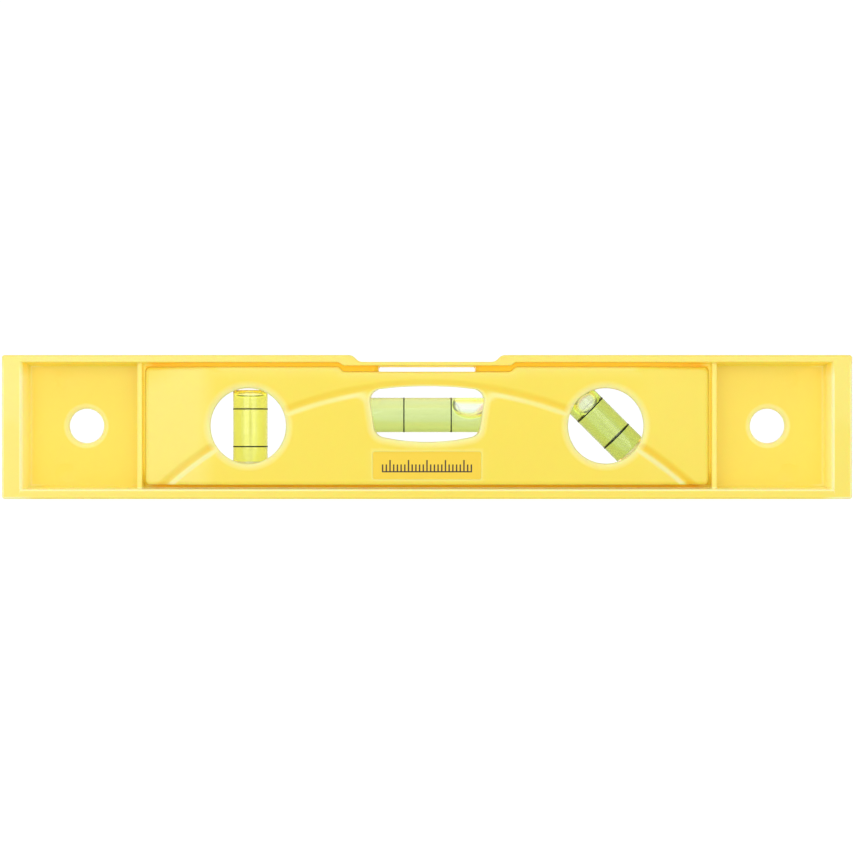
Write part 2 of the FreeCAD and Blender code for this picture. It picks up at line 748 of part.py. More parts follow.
def build_bubble(vial):
    """Rounded bubble, held off the bore by a film of spirit."""
    core = doc.addObject("Part::Cylinder", f"{vial.title()}FilmCore")
    core.setExpression("Radius", "Dims.bore_end_radius - Dims.spirit_film")
    core.setExpression("Height", f"2 * Dims.{vial}_chamber")
    place_along_tube(core, vial, f"-Dims.{vial}_chamber")

    blob = doc.addObject("Part::Ellipsoid", f"{vial.title()}Blob")
    blob.setExpression("Radius1", f"Dims.{vial}_bubble_height")
    blob.setExpression("Radius2", f"Dims.{vial}_bubble_length")
    blob.setExpression("Radius3", f"Dims.{vial}_bubble_width")
    place_in_vial(blob, vial, f"Dims.{vial}_bubble_along", f"Dims.{vial}_bubble_up")

    bubble = doc.addObject("Part::Common", f"{vial}_vial_bubble")
    bubble.Label = f"{vial}_vial_bubble"
    bubble.Base = core
    bubble.Tool = blob
    doc.recompute()
    return bubble


def build_spirit(vial, bubble):
    """Dyed spirit that fills the bore around the bubble."""
    chamber = f"Dims.{vial}_chamber"
    fill = doc.addObject("PartDesign::Body", f"{vial.title()}Fill")
    profile = new_sketch(fill, "FillProfile", "XZ_Plane")
    add_outline(profile, [
        (f"-{chamber}", "0"),
        (f"-{chamber}", "Dims.bore_end_radius", f"-({chamber_arc(vial)})"),
        (chamber, "Dims.bore_end_radius"),
        (chamber, "0"),
    ])
    revolve(fill, "Revolution", "Fill", profile, "H_Axis")
    place_in_vial(fill, vial)

    spirit = doc.addObject("Part::Cut", f"{vial}_vial_spirit")
    spirit.Label = f"{vial}_vial_spirit"
    spirit.Base = fill
    spirit.Tool = bubble
    doc.recompute()
    return spirit


# ---------------------------------------------------------------- build, check and write

nodes = [build_frame(), build_cover("front_cover", FRONT), build_cover("rear_cover", REAR), build_label()]
for vial_name in VIALS:
    vial_bubble = build_bubble(vial_name)
    nodes += [
        build_tube(vial_name),
        build_plug(vial_name),
        build_spirit(vial_name, vial_bubble),
        vial_bubble,
        build_lines(vial_name),
    ]
doc.recompute()

for item in doc.Objects:
    if "Invalid" in item.State or "Error" in item.State:
        raise RuntimeError(f"{item.Name} ({item.Label}) is in state {item.State}")
    if item.TypeId in ("PartDesign::Pocket", "PartDesign::Groove", "PartDesign::SubtractiveCylinder"):
        removed = item.BaseFeature.Shape.Volume - item.Shape.Volume
        if removed <= 0:
            raise RuntimeError(f"{item.Name} in {item.getParentGeoFeatureGroup().Label} cuts nothing")
for node in nodes:
    if node.Shape.isNull() or not node.Shape.isValid():
        raise RuntimeError(f"{node.Label} has no valid shape")
for node in nodes:
    node.Shape.exportStep(f"parts/{node.Label}.step")
    print(node.Label, len(node.Shape.Solids), "solid(s)", round(node.Shape.Volume, 2), "mm3")
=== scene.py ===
import json
import math

import bmesh
import bpy
import numpy as np
from mathutils import Matrix, Vector
from mathutils.geometry import delaunay_2d_cdt


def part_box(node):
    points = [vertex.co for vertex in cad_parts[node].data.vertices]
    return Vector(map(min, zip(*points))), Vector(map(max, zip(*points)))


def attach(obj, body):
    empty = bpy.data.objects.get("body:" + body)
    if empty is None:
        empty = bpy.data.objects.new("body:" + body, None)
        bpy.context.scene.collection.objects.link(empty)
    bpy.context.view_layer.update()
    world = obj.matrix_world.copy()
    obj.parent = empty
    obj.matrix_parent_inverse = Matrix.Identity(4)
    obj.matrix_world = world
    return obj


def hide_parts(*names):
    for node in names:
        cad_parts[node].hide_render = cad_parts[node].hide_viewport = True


# Looks for the torpedo spirit level. The moulded frame and covers are rebuilt over the packed
# model with rounded edges and drafted walls, the vials as smooth turned shapes.
# Lengths in this script are millimetres, except for the lights and the camera, which are placed
# in metres. Meshes are written in metres.

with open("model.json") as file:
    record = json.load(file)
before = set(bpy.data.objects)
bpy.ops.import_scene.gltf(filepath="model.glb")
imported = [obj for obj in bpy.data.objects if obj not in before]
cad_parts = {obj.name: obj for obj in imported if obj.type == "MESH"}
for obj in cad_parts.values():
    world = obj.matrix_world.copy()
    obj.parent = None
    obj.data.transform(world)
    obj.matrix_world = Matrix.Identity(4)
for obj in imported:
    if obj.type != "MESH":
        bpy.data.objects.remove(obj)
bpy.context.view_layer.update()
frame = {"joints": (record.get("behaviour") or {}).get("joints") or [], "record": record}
MM = 0.001

# ---------------------------------------------------------------- places read from the frame


def box_mm(node):
    """Lowest and highest corner of a CAD node, in millimetres."""
    low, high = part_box(node)
    return np.array(low) / MM, np.array(high) / MM


def plan_middle(node):
    """Middle of a CAD node in plan (x, z)."""
    low, high = box_mm(node)
    return ((low + high) / 2)[[0, 2]]


body_high = box_mm("frame_body")[1]
cover_low, cover_high = box_mm("front_cover")
label_low, label_high = box_mm("front_label")

HALF_LENGTH = body_high[0]
HALF_DEPTH = body_high[1]
HEIGHT = body_high[2]
COVER_HALF = cover_high[0]
COVER_BOTTOM = cover_low[2]
COVER_TOP = cover_high[2]
COVER_FACE = -cover_low[1]

hanging_holes = [mount for mount in frame["record"]["mounts"] if mount["kind"] == "bore"]
HOLE_PLACES = [(mount["pos_m"][0] / MM, mount["pos_m"][2] / MM) for mount in hanging_holes]
HOLE_RADIUS = hanging_holes[0]["dims"]["r_mm"]

# ---------------------------------------------------------------- sizes of the frame moulding

END_WALL = 5.7
TOP_RAIL = 1.95
BOTTOM_RAIL = 2.7
WEB_HALF = 1.5
BAY_DEPTH = HALF_DEPTH - WEB_HALF
WALL_DRAFT = math.radians(4.0)
LOW_DRAFT = math.radians(1.0)
FRAME_CORNER = 0.8
BAY_CORNER = 0.3
BAY_STEP_ROUND = 0.5
BODY_EDGE = 0.7
MOUTH_EDGE = 0.3
END_MOUTH_EDGE = 1.0
LOW_MOUTH_EDGE = 0.65
ROOT_ROUND = 0.9
END_ROOT_ROUND = 1.5
HOLE_ROUND = 1.6
# Well past the body on every side.
FAR_OUT = 50.0

RIB_PLACE = 78.05
RIBS = (-RIB_PLACE, RIB_PLACE)
RIB_HALF = 0.65
RIB_RECESS = 2.8
RIB_TOP_ROUND = 0.25
RIB_SPREAD = 0.12
RIB_ROOT_ROUND = 0.6

NOTCH_DEPTH = 1.85
NOTCH_FLOOR = 18.3
NOTCH_TOP = 20.3
NOTCH_ROUND = 2.2
NOTCH_Z = HEIGHT - NOTCH_DEPTH
THIN_RAIL = 1.0
LOW_ROOF = NOTCH_Z - THIN_RAIL
STEP_START = 22.6
STEP_END = 24.0
SLOT_HALF = 13.3
READING_HALF = 5.5
READING_CORNER = 1.2

# The web is cut away round the covers' inner parts with this much room.
WEB_CLEARANCE = 0.5
WEB_OPENING = 13.8
SHOULDER_DROP = 1.5

PIN_MARKS = [(sign * 99.1, z) for sign in (-1, 1) for z in (7.0, 32.6)]
PIN_RADIUS = 2.4
PIN_DEPTH = 0.05
PIN_EDGE = 0.12

# ---------------------------------------------------------------- sizes of the cover plates

COVER_STEP = 1.3
COVER_CORNER = 1.4
COVER_STEP_ROUND = 1.2
COVER_EDGE = 1.1
COVER_WALL = 1.2
FACE_THICK = 2.2
END_START = 57.2
END_BEND = 5.0
END_DROP = 2.3
MID_GAP = 0.1
# Plan width of the steep sides of skirts and collars, posts, and the opening to the level vial.
WALL_RUN = 0.15
POST_RUN = 0.08
OPENING_RUN = 0.1

WINDOW_X = 48.4
WINDOWS = ((-WINDOW_X, 19.8), (WINDOW_X, 19.8))
WINDOW_RADIUS = 10.2
WINDOW_BEVEL = 2.1
WINDOW_DROP = 0.85
SIGHT_FLARE = 0.9
COLLAR_WALL = 1.2

ARCH_Z = -76.5
ARCH_FLOOR = 107.2
ARCH_WALL = 2.0
ARCH_SLOPE = 2.2
ARCH_DEPTH = 0.6
ARCH_END_DEPTH = 1.05
SHOULDER = 3.0

MIDDLE_TOP = 15.9
MIDDLE_BOTTOM = 14.0
MIDDLE_FLOOR = 17.1
MIDDLE_ARCH = 107.1
MIDDLE_BOW = 60.0
MIDDLE_CORNER = 3.0
MIDDLE_RELIEF = 0.6
MIDDLE_LIP = 0.6

PEGS = [(sign * x, z) for sign in (-1, 1) for x, z in ((68.0, 28.5), (68.0, 11.0), (31.0, 11.0))]
PEG_RADIUS = 1.5
PEG_REACH = 5.0
SOCKET_WALL = 1.3
SOCKET_RADIUS = PEG_RADIUS + 0.03
SOCKET_RUN = 0.05
SOCKET_SPARE = 0.2

# The ledge that closes the gap round a cover: how far below the rim it lies on each side.
LEDGE_TOP = 1.5
LEDGE_SIDE = 1.75
LEDGE_LOW = 3.9
LEDGE_GAP = 0.04
LEDGE_STEP = 0.03
GAP_HEIGHTS = (COVER_BOTTOM, COVER_BOTTOM + 2, COVER_TOP - 3, COVER_TOP - COVER_STEP)

# ---------------------------------------------------------------- sizes of the label and vials

LABEL_GAP = 0.2
LABEL_RECESS = 0.35
LABEL_EDGE = 0.35
LABEL_CORNER = 0.5
RECESS_CORNER = 0.6
PLATE_EDGE = 0.05
TICKS = 12
TICK_PITCH = 1.0
TICK_HALF = 0.2
TICK_LONG = 3.0
TICK_SHORT = 1.8
BASE_LINE = 0.35

VIAL_RADIUS = 4.75
SEAT_RADIUS = 4.8
BORE_RADIUS = 3.65
BORE_END_RADIUS = 3.55
BORE_CORNER = 1.2
TUBE_CORNER = 0.5
MOUTH_CHAMFER = 0.3
FILM = 0.03
PLUG_GAP = 0.01
PLUG_INSET = 0.15

LINE_GAPS = {"level": 12.9, "plumb": 10.25, "angle": 10.2}
LINE_WIDTH = 0.34
LINE_DEPTH = 0.06
LINE_PROUD = 0.03
# Half length along the tube, half depth, half height.
BUBBLES = {"level": (5.0, 3.3, 2.8), "plumb": (1.05, 3.2, 3.2), "angle": (2.9, 3.0, 2.9)}
BUBBLE_FILM = 0.06
BUBBLE_SOFT = 0.5

# ---------------------------------------------------------------- painted light and shade on the plastic
# How far the colour goes towards the painted highlight yellow or the painted shade orange, by place.

END_TONES = (0.22, 0, 0, 0.02)
LABEL_TONE = 0.35
RIB_TONE = 0.3
RAIL_PLACES = (-114, -60, 0, 60, 114)
RAIL_TONES = (0.27, 0.18, 0.08, 0.11, 0.14)
TOP_RAIL_TONE = 0.10
EDGE_TONE = 0.12
TOP_LIP_TONE = 0.3
RIM_TONE = 0.95
GAP_TONES = (1.0, 0.0, 0.0, 0.8)
# Painted highlight on the groove's lower wall and painted shade on its floor, by distance from the cover's
# middle.
FOOT_PLACES = (13, 16.5, 20, 28, 60)
FOOT_TONES = (0.0, 0.5, 0.85, 0.6, 1.0)
FLOOR_PLACES = (0, 20, 60)
FLOOR_TONES = (0.08, 0.25, 0.45)

# ---------------------------------------------------------------- plan geometry
# A moulding is described in plan (x, z): closed outlines and signed distances to them.

NEARLY_STRAIGHT = 1e-3


def round_corners(corners, segments=8):
    """Points along a polygon whose corners (x, z, radius) are rounded."""
    count = len(corners)
    points = []
    for number in range(count):
        here = np.array(corners[number][:2])
        radius = corners[number][2]
        back = np.array(corners[number - 1][:2]) - here
        ahead = np.array(corners[(number + 1) % count][:2]) - here
        back = back / np.linalg.norm(back)
        ahead = ahead / np.linalg.norm(ahead)
        half = math.acos(np.clip(back @ ahead, -1, 1)) / 2
        if radius <= 0 or math.pi / 2 - half < NEARLY_STRAIGHT:
            points.append(here)
            continue
        middle = (back + ahead) / np.linalg.norm(back + ahead)
        centre = here + middle * radius / math.sin(half)
        start = here + back * radius / math.tan(half) - centre
        end = here + ahead * radius / math.tan(half) - centre
        sweep = math.pi - 2 * half
        turn = math.copysign(sweep, start[0] * end[1] - start[1] * end[0])
        across = np.array([-start[1], start[0]])
        for step in np.linspace(0, turn, segments + 1):
            points.append(centre + (math.cos(step) * start + math.sin(step) * across))
    return np.array(points)


def densify(points, spacing):
    """The closed outline with no straight stretch longer than spacing."""
    out = []
    for start, end in zip(points, np.roll(points, -1, axis=0)):
        pieces = max(1, math.ceil(np.linalg.norm(end - start) / spacing))
        out += [start + (end - start) * step / pieces for step in range(pieces)]
    return np.array(out)


def circle(middle, radius, count=96):
    """A circle as an outline of count points."""
    turn = np.linspace(0, 2 * math.pi, count, endpoint=False)
    return middle + radius * np.stack([np.cos(turn), np.sin(turn)], axis=1)


def signed_distance(outline, points):
    """Distance of each point to a closed outline: negative inside."""
    nearest = np.full(len(points), np.inf)
    inside = np.zeros(len(points), bool)
    for start, end in zip(outline, np.roll(outline, -1, axis=0)):
        along = end - start
        length = along @ along
        if length == 0:
            continue
        share = np.clip((points - start) @ along / length, 0, 1)
        gap = points - start - share[:, None] * along
        nearest = np.minimum(nearest, np.einsum("ij,ij->i", gap, gap))
        crosses = (start[1] > points[:, 1]) != (end[1] > points[:, 1])
        if along[1] != 0:
            reach = start[0] + (points[:, 1] - start[1]) * along[0] / along[1]
            inside ^= crosses & (points[:, 0] < reach)
    return np.where(inside, -1, 1) * np.sqrt(nearest)


def offset_corners(corners, grow):
    """An anticlockwise polygon moved outwards by grow; its corner radii change to match."""
    count = len(corners)
    moved = []
    for number in range(count):
        before = np.array(corners[number - 1][:2])
        here = np.array(corners[number][:2])
        after = np.array(corners[(number + 1) % count][:2])
        first = (here - before) / np.linalg.norm(here - before)
        second = (after - here) / np.linalg.norm(after - here)
        out_first = np.array([first[1], -first[0]])
        out_second = np.array([second[1], -second[0]])
        middle = (out_first + out_second) / (1 + out_first @ out_second)
        convex = first[0] * second[1] - first[1] * second[0] > 0
        radius = corners[number][2] + (grow if convex else -grow)
        moved.append((*(here + middle * grow), max(radius, 0.0)))
    return moved


def ease(value):
    """0 to 1 with no sudden change of slope."""
    share = np.clip(value, 0, 1)
    return share * share * (3 - 2 * share)


def blend_max(first, second, width):
    """The larger of two values, rounded off where they are within width of each other."""
    near = np.clip(1 - np.abs(first - second) / width, 0, 1)
    return np.maximum(first, second) + near * near * width / 4


def rounding_edge(distance, radius):
    """How far a rounded edge has dropped at a distance in from its foot."""
    inward = np.clip(distance, 0, radius)
    return radius - np.sqrt(np.maximum(radius**2 - (radius - inward) ** 2, 0))


def quarter_turn(count):
    """(sine, 1 - cosine) at even steps over a right angle: the points of a rounding of radius 1."""
    return [(math.sin(turn), 1 - math.cos(turn)) for turn in np.linspace(0, math.pi / 2, count)]


def moved_outline(corners, grow, spacing=math.inf):
    """The rounded outline of a polygon that is moved outwards by grow."""
    return densify(round_corners(offset_corners(corners, grow)), spacing)


def rectangle(low, high, radius=0.0):
    """Corners (x, z, radius) of a rectangle, anticlockwise from its lower left one."""
    (left, bottom), (right, top) = low, high
    return [(left, bottom, radius), (right, bottom, radius), (right, top, radius), (left, top, radius)]


def mirrored(right):
    """Right-hand corners, listed upwards, with their mirror images: anticlockwise from the lower left."""
    corners = right + [(-x, z, radius) for x, z, radius in reversed(right)]
    return corners[-1:] + corners[:-1]


def loops(*outlines):
    """Outlines as contours that triangulate() joins up at the end."""
    return [(outline, True) for outline in outlines]


def past_circle(plan, middle, radius):
    """Distance of each point outside a circle: negative inside."""
    return np.hypot(*(plan - middle).T) - radius


def material_inside(outline, openings=()):
    """A test for plan points: within the outline and outside every opening."""

    def inside(points):
        solid = signed_distance(outline, points) < 0
        for opening in openings:
            solid &= signed_distance(opening, points) > 0
        return solid

    return inside


# Distances in from an edge where a rounding of radius 1 is sampled.
EDGE_STEPS = 1 - np.cos(np.linspace(0, math.pi / 2, 7))

# ---------------------------------------------------------------- mesh building


def linked(name, data):
    """An object for this mesh, light or camera, put into the scene."""
    piece = bpy.data.objects.new(name, data)
    bpy.context.scene.collection.objects.link(piece)
    return piece


def new_piece(name, vertices, faces, smooth=True):
    """A mesh object from millimetre vertices."""
    data = bpy.data.meshes.new(name)
    data.from_pydata((np.asarray(vertices) * MM).tolist(), [], faces)
    data.validate()
    data.update()
    data.polygons.foreach_set("use_smooth", [smooth] * len(data.polygons))
    return linked(name, data)


def placed(name, mesh, place):
    """A smooth mesh object from a bmesh, which is used up, moved to its place."""
    data = bpy.data.meshes.new(name)
    mesh.to_mesh(data)
    mesh.free()
    data.transform(place)
    data.polygons.foreach_set("use_smooth", [True] * len(data.polygons))
    return linked(name, data)


def lattice(low, high, pitch):
    """Points on a grid of about this pitch, which keep the triangles small."""
    xs = np.linspace(low[0], high[0], max(2, round((high[0] - low[0]) / pitch)))
    zs = np.linspace(low[1], high[1], max(2, round((high[1] - low[1]) / pitch)))
    return np.array([(x, z) for x in xs for z in zs])


def triangulate(contours, extra):
    """Triangles over the plan that keep every contour. A contour is (points, closed)."""
    points = []
    edges = []
    for line, closed in contours:
        base = len(points)
        points += [Vector(p) for p in line]
        edges += [(base + i, base + i + 1) for i in range(len(line) - 1)]
        if closed:
            edges.append((base + len(line) - 1, base))
    points += [Vector(p) for p in extra]
    found = delaunay_2d_cdt(points, edges, [], 0, 1e-5, False)
    plan = np.array([tuple(p) for p in found[0]])
    return plan, np.array([tuple(f) for f in found[2] if len(f) == 3])


def moulding(name, contours, extra, inside, near_y, far_y, side=1):
    """A closed solid between two height functions over one plan.

    inside tells which plan points hold material. near_y and far_y give the two surfaces as
    depths along Y; side is 1 when the near surface looks along -Y and -1 when it looks along +Y.
    far_y may also move its points in plan, so it returns x, y and z.
    """
    plan, triangles = triangulate(contours, extra)
    corner = plan[triangles]
    first = corner[:, 1] - corner[:, 0]
    second = corner[:, 2] - corner[:, 0]
    area = first[:, 0] * second[:, 1] - first[:, 1] * second[:, 0]
    triangles[area < 0] = triangles[area < 0][:, ::-1]
    keep = (np.abs(area) > 1e-9) & inside(corner.mean(axis=1))
    triangles = triangles[keep]
    used, triangles = np.unique(triangles, return_inverse=True)
    triangles = triangles.reshape(-1, 3)
    plan = plan[used]
    count = len(plan)
    near = np.stack([plan[:, 0], near_y(plan) * side, plan[:, 1]], axis=1)
    x, y, z = far_y(plan)
    far = np.stack([x, y * side, z], axis=1)
    edges = {}
    for a, b, c in triangles.tolist():
        for edge in ((a, b), (b, c), (c, a)):
            edges[edge] = edges.get(edge, 0) + 1
    rim = [edge for edge in edges if (edge[1], edge[0]) not in edges]
    faces = [tuple(t) for t in triangles.tolist()]
    faces += [(a + count, c + count, b + count) for a, b, c in triangles.tolist()]
    faces += [(b, a, a + count, b + count) for a, b in rim]
    if side < 0:
        faces = [face[::-1] for face in faces]
    return new_piece(name, np.vstack([near, far]), faces)


def turned(name, profile, place, segments=96, closed=True):
    """A shape turned about X from (x, radius) pairs. closed joins the last pair to the first."""
    turn = np.linspace(0, 2 * math.pi, segments, endpoint=False)
    mesh = bmesh.new()
    rings = []
    for x, radius in profile:
        if radius < 1e-6:
            rings.append([mesh.verts.new((x * MM, 0, 0))])
            continue
        ring = [(x * MM, radius * MM * math.cos(a), radius * MM * math.sin(a)) for a in turn]
        rings.append([mesh.verts.new(p) for p in ring])
    pairs = list(zip(rings, rings[1:]))
    if closed:
        pairs.append((rings[-1], rings[0]))
    for low, high in pairs:
        for i in range(segments):
            j = (i + 1) % segments
            corners = [low[i % len(low)], low[j % len(low)], high[j % len(high)], high[i % len(high)]]
            unique = list(dict.fromkeys(corners))
            if len(unique) > 2:
                mesh.faces.new(unique)
    bmesh.ops.recalc_face_normals(mesh, faces=mesh.faces)
    return placed(name, mesh, place)


def paint(piece, *materials):
    """Gives a piece its materials, in the order that its faces refer to them."""
    while len(piece.data.materials) < len(materials):
        piece.data.materials.append(None)
    for number, material in enumerate(materials):
        piece.data.materials[number] = material


def keep_flats_flat(piece):
    """Shades large flat faces flat and lets the small edge roundings carry the highlight."""
    modifier = piece.modifiers.new("Weighted normals", "WEIGHTED_NORMAL")
    modifier.mode = "FACE_AREA"
    modifier.weight = 90
    modifier.keep_sharp = True


def mark_tones(piece, painted_light, deep, painted_glow):
    """Stores three tones on each point: a painted highlight where the plastic is thin and lit through, a
    painted shade where it is shaded, and a painted glow in recesses and on inner sides, where light comes
    in through the walls.

    Each is a function of plan points and depths below the body's rim.
    """
    places = np.empty(len(piece.data.vertices) * 3)
    piece.data.vertices.foreach_get("co", places)
    places = places.reshape(-1, 3) / MM
    plan = places[:, [0, 2]]
    depth = HALF_DEPTH - np.abs(places[:, 1])
    tones = {"painted_light": painted_light(plan, depth), "deep": deep(plan, depth), "painted_glow": painted_glow(plan, depth)}
    for name, values in tones.items():
        attribute = piece.data.attributes.new(name, "FLOAT", "POINT")
        attribute.data.foreach_set("value", np.clip(values, 0, 1))


# ---------------------------------------------------------------- outlines


def frame_corners():
    right = [
        (HALF_LENGTH, 0, FRAME_CORNER),
        (HALF_LENGTH, HEIGHT, FRAME_CORNER),
        (NOTCH_TOP, HEIGHT, NOTCH_ROUND),
        (NOTCH_FLOOR, NOTCH_Z, NOTCH_ROUND),
    ]
    return mirrored(right)


def bay_corners():
    end = HALF_LENGTH - END_WALL
    roof = HEIGHT - TOP_RAIL
    right = [
        (end, BOTTOM_RAIL, BAY_CORNER),
        (end, roof, BAY_CORNER),
        (STEP_END, roof, BAY_STEP_ROUND),
        (STEP_START, LOW_ROOF, BAY_STEP_ROUND),
    ]
    return mirrored(right)


def below_roof():
    """Everything under the bays' stepped roof: on the other sides the outline runs far out."""
    roof = [corner[:2] for corner in bay_corners()[2:]]
    far_x = HALF_LENGTH + FAR_OUT
    far_z = -FAR_OUT
    return np.array(roof + [(-far_x, roof[-1][1]), (-far_x, far_z), (far_x, far_z), (far_x, roof[0][1])])


def cover_corners():
    right = [
        (COVER_HALF, COVER_BOTTOM, COVER_CORNER),
        (COVER_HALF, COVER_TOP, COVER_CORNER),
        (STEP_END, COVER_TOP, COVER_STEP_ROUND),
        (STEP_START, COVER_TOP - COVER_STEP, COVER_STEP_ROUND),
    ]
    return mirrored(right)


def label_corners():
    """The recess in the cover's face: the label with a little room all round."""
    low = (-label_high[0] - LABEL_GAP, label_low[2] - LABEL_GAP)
    high = (label_high[0] + LABEL_GAP, label_high[2] + LABEL_GAP)
    return rectangle(low, high, RECESS_CORNER)


def web_openings():
    """Holes in the web: middle window and its slot, round windows, peg sockets and vial seats."""
    half = MIDDLE_TOP + MIDDLE_RELIEF + COLLAR_WALL + WEB_CLEARANCE
    shoulder = COVER_TOP - COVER_STEP - SHOULDER_DROP
    right = [
        (half, label_high[2], 1.0),
        (half, shoulder, 1.0),
        (SLOT_HALF, shoulder, 0.5),
        (SLOT_HALF, LOW_ROOF, 0.5),
    ]
    openings = [round_corners(mirrored(right))]
    openings += [circle(place, WEB_OPENING) for place in WINDOWS]
    openings += [circle(place, PEG_RADIUS + SOCKET_WALL + WEB_CLEARANCE, 32) for place in PEGS]
    openings += [turned_box(vial, VIAL_RADIUS + WEB_CLEARANCE) for vial in VIALS.values()]
    return openings


def bowed(start, end, radius, count):
    """Points from start up to, but not including, end on an arc that turns left."""
    start, end = np.array(start), np.array(end)
    chord = end - start
    left = np.array([-chord[1], chord[0]]) / np.linalg.norm(chord)
    centre = (start + end) / 2 + left * math.sqrt(radius**2 - (chord @ chord) / 4)
    first = math.atan2(*(start - centre)[::-1])
    last = math.atan2(*(end - centre)[::-1])
    if last < first:
        last += 2 * math.pi
    turn = np.linspace(first, last, count, endpoint=False)
    return [centre + radius * np.array([math.cos(a), math.sin(a)]) for a in turn]


def middle_window(grow):
    """The middle window's outline: bowed floor, leaning sides, arched top, rounded corners."""
    half_top = MIDDLE_TOP + grow
    half_bottom = MIDDLE_BOTTOM + grow
    floor = MIDDLE_FLOOR - grow
    top = ARCH_Z + math.sqrt((MIDDLE_ARCH + grow) ** 2 - half_top**2)
    corner = MIDDLE_CORNER + grow
    bottom_arc = bowed((-half_bottom, floor), (half_bottom, floor), MIDDLE_BOW + grow, 9)
    top_arc = bowed((half_top, top), (-half_top, top), MIDDLE_ARCH + grow, 9)
    corners = [(*bottom_arc[0], corner)]
    corners += [(*p, 0.0) for p in bottom_arc[2:-1]]
    corners += [(half_bottom, floor, corner), (half_top, top, corner)]
    corners += [(*p, 0.0) for p in top_arc[2:-1]]
    corners += [(-half_top, top, corner)]
    return round_corners(corners)


def turned_box(vial, half_width):
    """A rectangle round a vial, long along its tube, with a gap at both ends."""
    along, across = vial_axes(vial)
    half_length = vial["length"] / 2 + MID_GAP
    signs = ((-1, -1), (1, -1), (1, 1), (-1, 1))
    return np.array([vial["centre"] + along * half_length * s + across * half_width * t for s, t in signs])


# ---------------------------------------------------------------- the three vials
# Each is read from its CAD tube: middle, direction towards the closed end, length.

joints = {joint["name"]: joint for joint in frame["joints"]}


def length_along(node, direction, radius):
    """Length of a cylinder of this radius, from its box and its direction in plan."""
    low, high = box_mm(node)
    size = (high - low)[[0, 2]]
    along, across = np.abs(direction)
    if along > across:
        return (size[0] - 2 * radius * across) / along
    return (size[1] - 2 * radius * along) / across


def read_vial(name):
    axis = -np.array(joints[f"{name}_bubble_slide"]["axis"])
    direction = axis[[0, 2]] / np.linalg.norm(axis)
    return {
        "centre": plan_middle(f"{name}_vial_tube"),
        "direction": direction,
        "length": length_along(f"{name}_vial_tube", direction, VIAL_RADIUS),
        "chamber": length_along(f"{name}_vial_spirit", direction, BORE_END_RADIUS) / 2,
    }


VIALS = {name: read_vial(name) for name in ("level", "plumb", "angle")}
LEVEL_Z = VIALS["level"]["centre"][1]


def vial_axes(vial):
    """Plan directions along the tube and across it."""
    dx, dz = vial["direction"]
    return np.array([dx, dz]), np.array([-dz, dx])


def vial_matrix(vial):
    """From the vial's own frame, X along the tube, to the level's frame."""
    dx, dz = vial["direction"]
    along = Vector((dx, 0, dz))
    across = Vector((0, 1, 0))
    turn = Matrix((along, across, along.cross(across))).transposed().to_4x4()
    return Matrix.Translation(Vector((vial["centre"][0], 0, vial["centre"][1])) * MM) @ turn


def along_across(vial, plan):
    """Places in plan, one or many, as distances along and across a vial from its middle."""
    offset = plan - vial["centre"]
    along, across = vial_axes(vial)
    return offset @ along, offset @ across


def seat_depth(plan):
    """How deep the vial seats cut into anything that stands behind the cover's face."""
    depth = np.zeros(len(plan))
    for vial in VIALS.values():
        along, across = along_across(vial, plan)
        inside = np.abs(along) < vial["length"] / 2 + MID_GAP
        round_bottom = np.sqrt(np.maximum(SEAT_RADIUS**2 - across**2, 0))
        depth = np.maximum(depth, np.where(inside, round_bottom, 0))
    return depth


def seat_contours(vial):
    """Lines along the tube where its round seat is sampled."""
    along, across = vial_axes(vial)
    half = vial["length"] / 2 + MID_GAP
    lines = []
    for step in np.linspace(-math.pi / 2, math.pi / 2, 13):
        offset = across * SEAT_RADIUS * math.sin(step)
        lines.append(([vial["centre"] + along * s + offset for s in np.linspace(-half, half, 12)], False))
    return lines


# ---------------------------------------------------------------- frame moulding


def wall_profile(mouth, draft, root):
    """(distance into the bay, depth below the rim): rounded mouth, drafted wall, rounded root."""
    run = (BAY_DEPTH - root - mouth) * math.tan(draft)
    top = [(-mouth * (1 - sine), mouth * rise) for sine, rise in quarter_turn(7)]
    return top + [(run + root * rise, BAY_DEPTH - root + root * sine) for sine, rise in quarter_turn(7)]


def rib_profile():
    """(distance out from the rib's middle line, depth below the rim)."""
    crest = RIB_HALF - RIB_TOP_ROUND
    foot = RIB_HALF + RIB_SPREAD
    low = BAY_DEPTH - RIB_ROOT_ROUND
    steps = []
    for sine, rise in quarter_turn(5):
        steps.append((crest + RIB_TOP_ROUND * sine, RIB_RECESS + RIB_TOP_ROUND * rise))
    for sine, rise in quarter_turn(6):
        steps.append((foot + RIB_ROOT_ROUND * rise, low + RIB_ROOT_ROUND * sine))
    return steps


def follow(distance, steps):
    """The depth that a profile has reached at each distance."""
    return np.interp(distance, *zip(*steps))


END_STEPS = wall_profile(END_MOUTH_EDGE, WALL_DRAFT, END_ROOT_ROUND)
TOP_STEPS = wall_profile(MOUTH_EDGE, WALL_DRAFT, ROOT_ROUND)
LOW_STEPS = wall_profile(LOW_MOUTH_EDGE, LOW_DRAFT, ROOT_ROUND)
RIB_STEPS = rib_profile()


